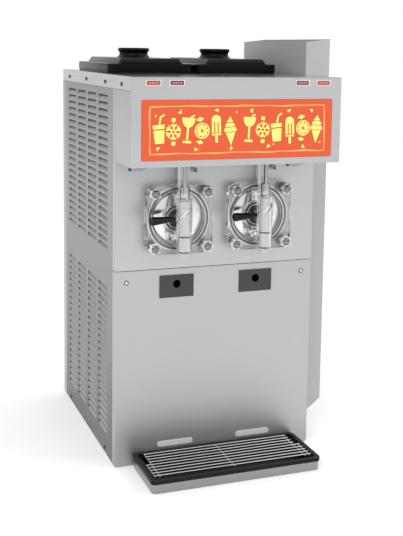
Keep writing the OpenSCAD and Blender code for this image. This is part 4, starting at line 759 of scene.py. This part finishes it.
def ice_pop(cx, cz, turn):
    arc = [(9 * math.cos(math.radians(a)), 16 + 9 * math.sin(math.radians(a)))
           for a in range(15, 180, 15)]
    outline = [(-9, -8), (-4.6, -8), (-4.6, 12), (-2.0, 12), (-2.0, -8), (2.0, -8), (2.0, 12),
               (4.6, 12), (4.6, -8), (9, -8), (9, 16)] + arc + [(-9, 16)]
    poly(outline, cx, cz, turn)
    poly([(-9, -12.5), (9, -12.5), (9, -9.6), (-9, -9.6)], cx, cz, turn)
    poly([(-2.5, -26), (2.5, -26), (2.5, -13.6), (-2.5, -13.6)], cx, cz, turn)


def swirl_cone(cx, cz, turn):
    poly([(0, -27), (9.4, -3), (-9.4, -3)], cx, cz, turn)
    poly([(-11.6, -1.4), (11.6, -1.4), (12.4, 2.4), (10.4, 6.2), (-10.4, 6.2), (-12.4, 2.4)],
         cx, cz, turn)
    poly([(-8.6, 7.8), (8.6, 7.8), (9.6, 11), (7.4, 14.4), (-7.4, 14.4), (-9.6, 11)], cx, cz, turn)
    poly([(-5.4, 16), (5.4, 16), (5.8, 18.4), (2.8, 22.4), (1.4, 27), (-2.2, 22), (-5.6, 18.6)],
         cx, cz, turn)


PICTURES = (tumbler, snowflake, coupe, slice_of_fruit, ice_pop, swirl_cone,
            coupe, snowflake, tumbler, ice_pop, slice_of_fruit, swirl_cone)
FIRST_X, PICTURE_STEP, MIDDLE_GAP = -177, 31.2, 11
# the pictures stand a little unevenly, as hand lettering does
RISES = (2.2, -3.2, 0.4, -2.0)
TILTS = (0.07, -0.05, -0.08, 0.06, 0.03)
for i, draw in enumerate(PICTURES):
    x = FIRST_X + i * PICTURE_STEP + (MIDDLE_GAP if i >= len(PICTURES) // 2 else 0)
    draw(x, RISES[i % 4], TILTS[i % 5])
# (x, z, size) of each small scattered triangle
CONFETTI = ((-132, 38, 4.6), (-52, 39, 4.4), (28, 38, 4.8), (112, 39, 4.4), (164, 37, 4.2),
            (-178, -38, 4.4), (-96, -39, 4.6), (-20, -39, 4.2), (66, -38, 4.6), (148, -39, 4.4),
            (-184, 30, 2.4), (-8, 35, 2.4), (78, -33, 2.2), (186, -30, 2.4))
for i, (x, z, r) in enumerate(CONFETTI):
    poly([(-r, -0.7 * r), (0.8 * r, -r), (0.7 * r, r)], x, z, 1.9 * i, 1.0)
ink.make("sign_pictures", "cabinet", "ink_yellow", "sign_face", smooth=0)

ink_border = Build()
BORDER_X, BORDER_Z = 196.0, 48.5


def wavering(t, phase):
    """How far a hand-drawn line strays, in mm."""
    return 0.55 * math.sin(t * 0.045 + phase) + 0.35 * math.sin(t * 0.11 + 2.1 * phase)


def border_run(horizontal, sign, phase):
    """One of the four lines of the border, of uneven width."""
    half = BORDER_X if horizontal else BORDER_Z
    across = BORDER_Z if horizontal else BORDER_X
    steps = 40 if horizontal else 12
    upper, lower = [], []
    for i in range(steps + 1):
        t = -half + 2 * half * i / steps
        width = 1.35 + 0.4 * math.sin(t * 0.06 + 3 * phase)
        off = sign * across + wavering(t, phase)
        for side_list, edge in ((upper, off + width), (lower, off - width)):
            side_list.append((t, edge) if horizontal else (edge, t))
    poly(upper + lower[::-1], 0, 0, 0.0, 1.0, ink_border)


for horizontal, sign, phase in ((True, 1, 0.3), (True, -1, 1.7), (False, 1, 2.6), (False, -1, 4.0)):
    border_run(horizontal, sign, phase)
ink_border.make("sign_border", "cabinet", "ink_border", "sign_face", smooth=0)

# ---- stage, light and camera ----
def stage_material(name, color, rough, glow=0.0):
    mat = bpy.data.materials.new(name)
    mat.use_nodes = True
    shader = mat.node_tree.nodes["Principled BSDF"]
    shader.inputs["Base Color"].default_value = (*color, 1)
    shader.inputs["Roughness"].default_value = rough
    shader.inputs["Specular IOR Level"].default_value = 0.0
    shader.inputs["Emission Color"].default_value = (1, 1, 1, 1)
    shader.inputs["Emission Strength"].default_value = glow
    return mat


def card(name, corners, mat):
    """A flat four-cornered surface of the stage, in metres."""
    data = bpy.data.meshes.new(name)
    data.from_pydata(corners, [], [(0, 1, 2, 3)])
    obj = link(bpy.data.objects.new(name, data))
    data.materials.append(mat)
    return obj


def flag(name, start, end, low, high, mat):
    """A standing dark card that only shows as a reflection in the steel."""
    (x0, y0), (x1, y1) = start, end
    obj = card(name, [(x0, y0, low), (x1, y1, low), (x1, y1, high), (x0, y0, high)], mat)
    obj.visible_camera = obj.visible_diffuse = obj.visible_shadow = False
    obj.visible_transmission = False


FLOOR_HALF = 6.0
floor_z = cad_box[0].z - 0.5 * MM
card("floor", [(x * FLOOR_HALF, y * FLOOR_HALF, floor_z) for x, y in ((-1, -1), (1, -1), (1, 1), (-1, 1))],
     stage_material("floor_pale", (0.93, 0.93, 0.93), 0.9, 0.2))
dark = stage_material("flag_dark", (0.02, 0.02, 0.02), 1.0)
flag("flag_rear_left", (-2.1, 1.8), (-0.9, 1.8), 0.9, 1.5, dark)
flag("flag_left", (-1.5, -1.45), (-1.25, -0.9), 0.2, 1.15, dark)
flag("flag_right", (1.5, -1.1), (1.3, -0.5), 0.1, 1.4, dark)

# the world lights the object a little less brightly than it shows behind it
WORLD_LIGHT, WORLD_SEEN = 0.9, 1.0
world = bpy.data.worlds.new("studio")
bpy.context.scene.world = world
world.use_nodes = True
wt = world.node_tree
lit, seen = wt.nodes["Background"], wt.nodes.new("ShaderNodeBackground")
for background, strength in ((lit, WORLD_LIGHT), (seen, WORLD_SEEN)):
    background.inputs["Strength"].default_value = strength
    background.inputs["Color"].default_value = (1, 1, 1, 1)
path = wt.nodes.new("ShaderNodeLightPath")
pick = wt.nodes.new("ShaderNodeMixShader")
wt.links.new(path.outputs["Is Camera Ray"], pick.inputs[0])
wt.links.new(lit.outputs[0], pick.inputs[1])
wt.links.new(seen.outputs[0], pick.inputs[2])
wt.links.new(pick.outputs[0], wt.nodes["World Output"].inputs["Surface"])

LIT_POINT = Vector((0, 0, 0.5))


def softbox(name, at, size, power):
    """A rectangular lamp that faces the middle of the machine."""
    light = bpy.data.lights.new(name, "AREA")
    light.shape, light.size, light.size_y, light.energy = "RECTANGLE", size[0], size[1], power
    obj = link(bpy.data.objects.new(name, light))
    obj.location = at
    obj.rotation_mode = "QUATERNION"
    obj.rotation_quaternion = (LIT_POINT - Vector(at)).to_track_quat("-Z", "Y")


softbox("key_light", (-1.6, -2.4, 2.6), (1.6, 1.2), 26)
softbox("fill_light", (2.2, -1.8, 1.8), (1.4, 1.4), 12)

# the camera stands to the left of the front, a little above the header, and looks slightly down
CAMERA_AT = Vector((-0.77492, -2.25750, 0.92599))
YAW, PITCH, ROLL = 0.3561, 0.1260, 0.0138
SENSOR, LENS = 36.0, 65.5368
SHIFT = (-0.0059, -0.18)
ahead_flat = Vector((math.sin(YAW), math.cos(YAW), 0))
right_flat = Vector((math.cos(YAW), -math.sin(YAW), 0))
up = Vector((0, 0, 1))
ahead = ahead_flat * math.cos(PITCH) - up * math.sin(PITCH)
up_tilted = up * math.cos(PITCH) + ahead_flat * math.sin(PITCH)
cam_right = right_flat * math.cos(ROLL) + up_tilted * math.sin(ROLL)
cam_up = up_tilted * math.cos(ROLL) - right_flat * math.sin(ROLL)
camera_data = bpy.data.cameras.new("camera")
camera_data.sensor_width, camera_data.lens = SENSOR, LENS
camera_data.shift_x, camera_data.shift_y = SHIFT
camera = link(bpy.data.objects.new("camera", camera_data))
turn = Matrix((cam_right, cam_up, -ahead)).transposed().to_4x4()
camera.matrix_world = Matrix.Translation(CAMERA_AT) @ turn
scene = bpy.context.scene
scene.camera = camera
scene.view_settings.view_transform = "Standard"
# light has to cross the clear doors and run down the polished cylinders and back
scene.cycles.max_bounces, scene.cycles.glossy_bounces = 28, 14
scene.cycles.transmission_bounces = 16

bpy.context.view_layer.update()
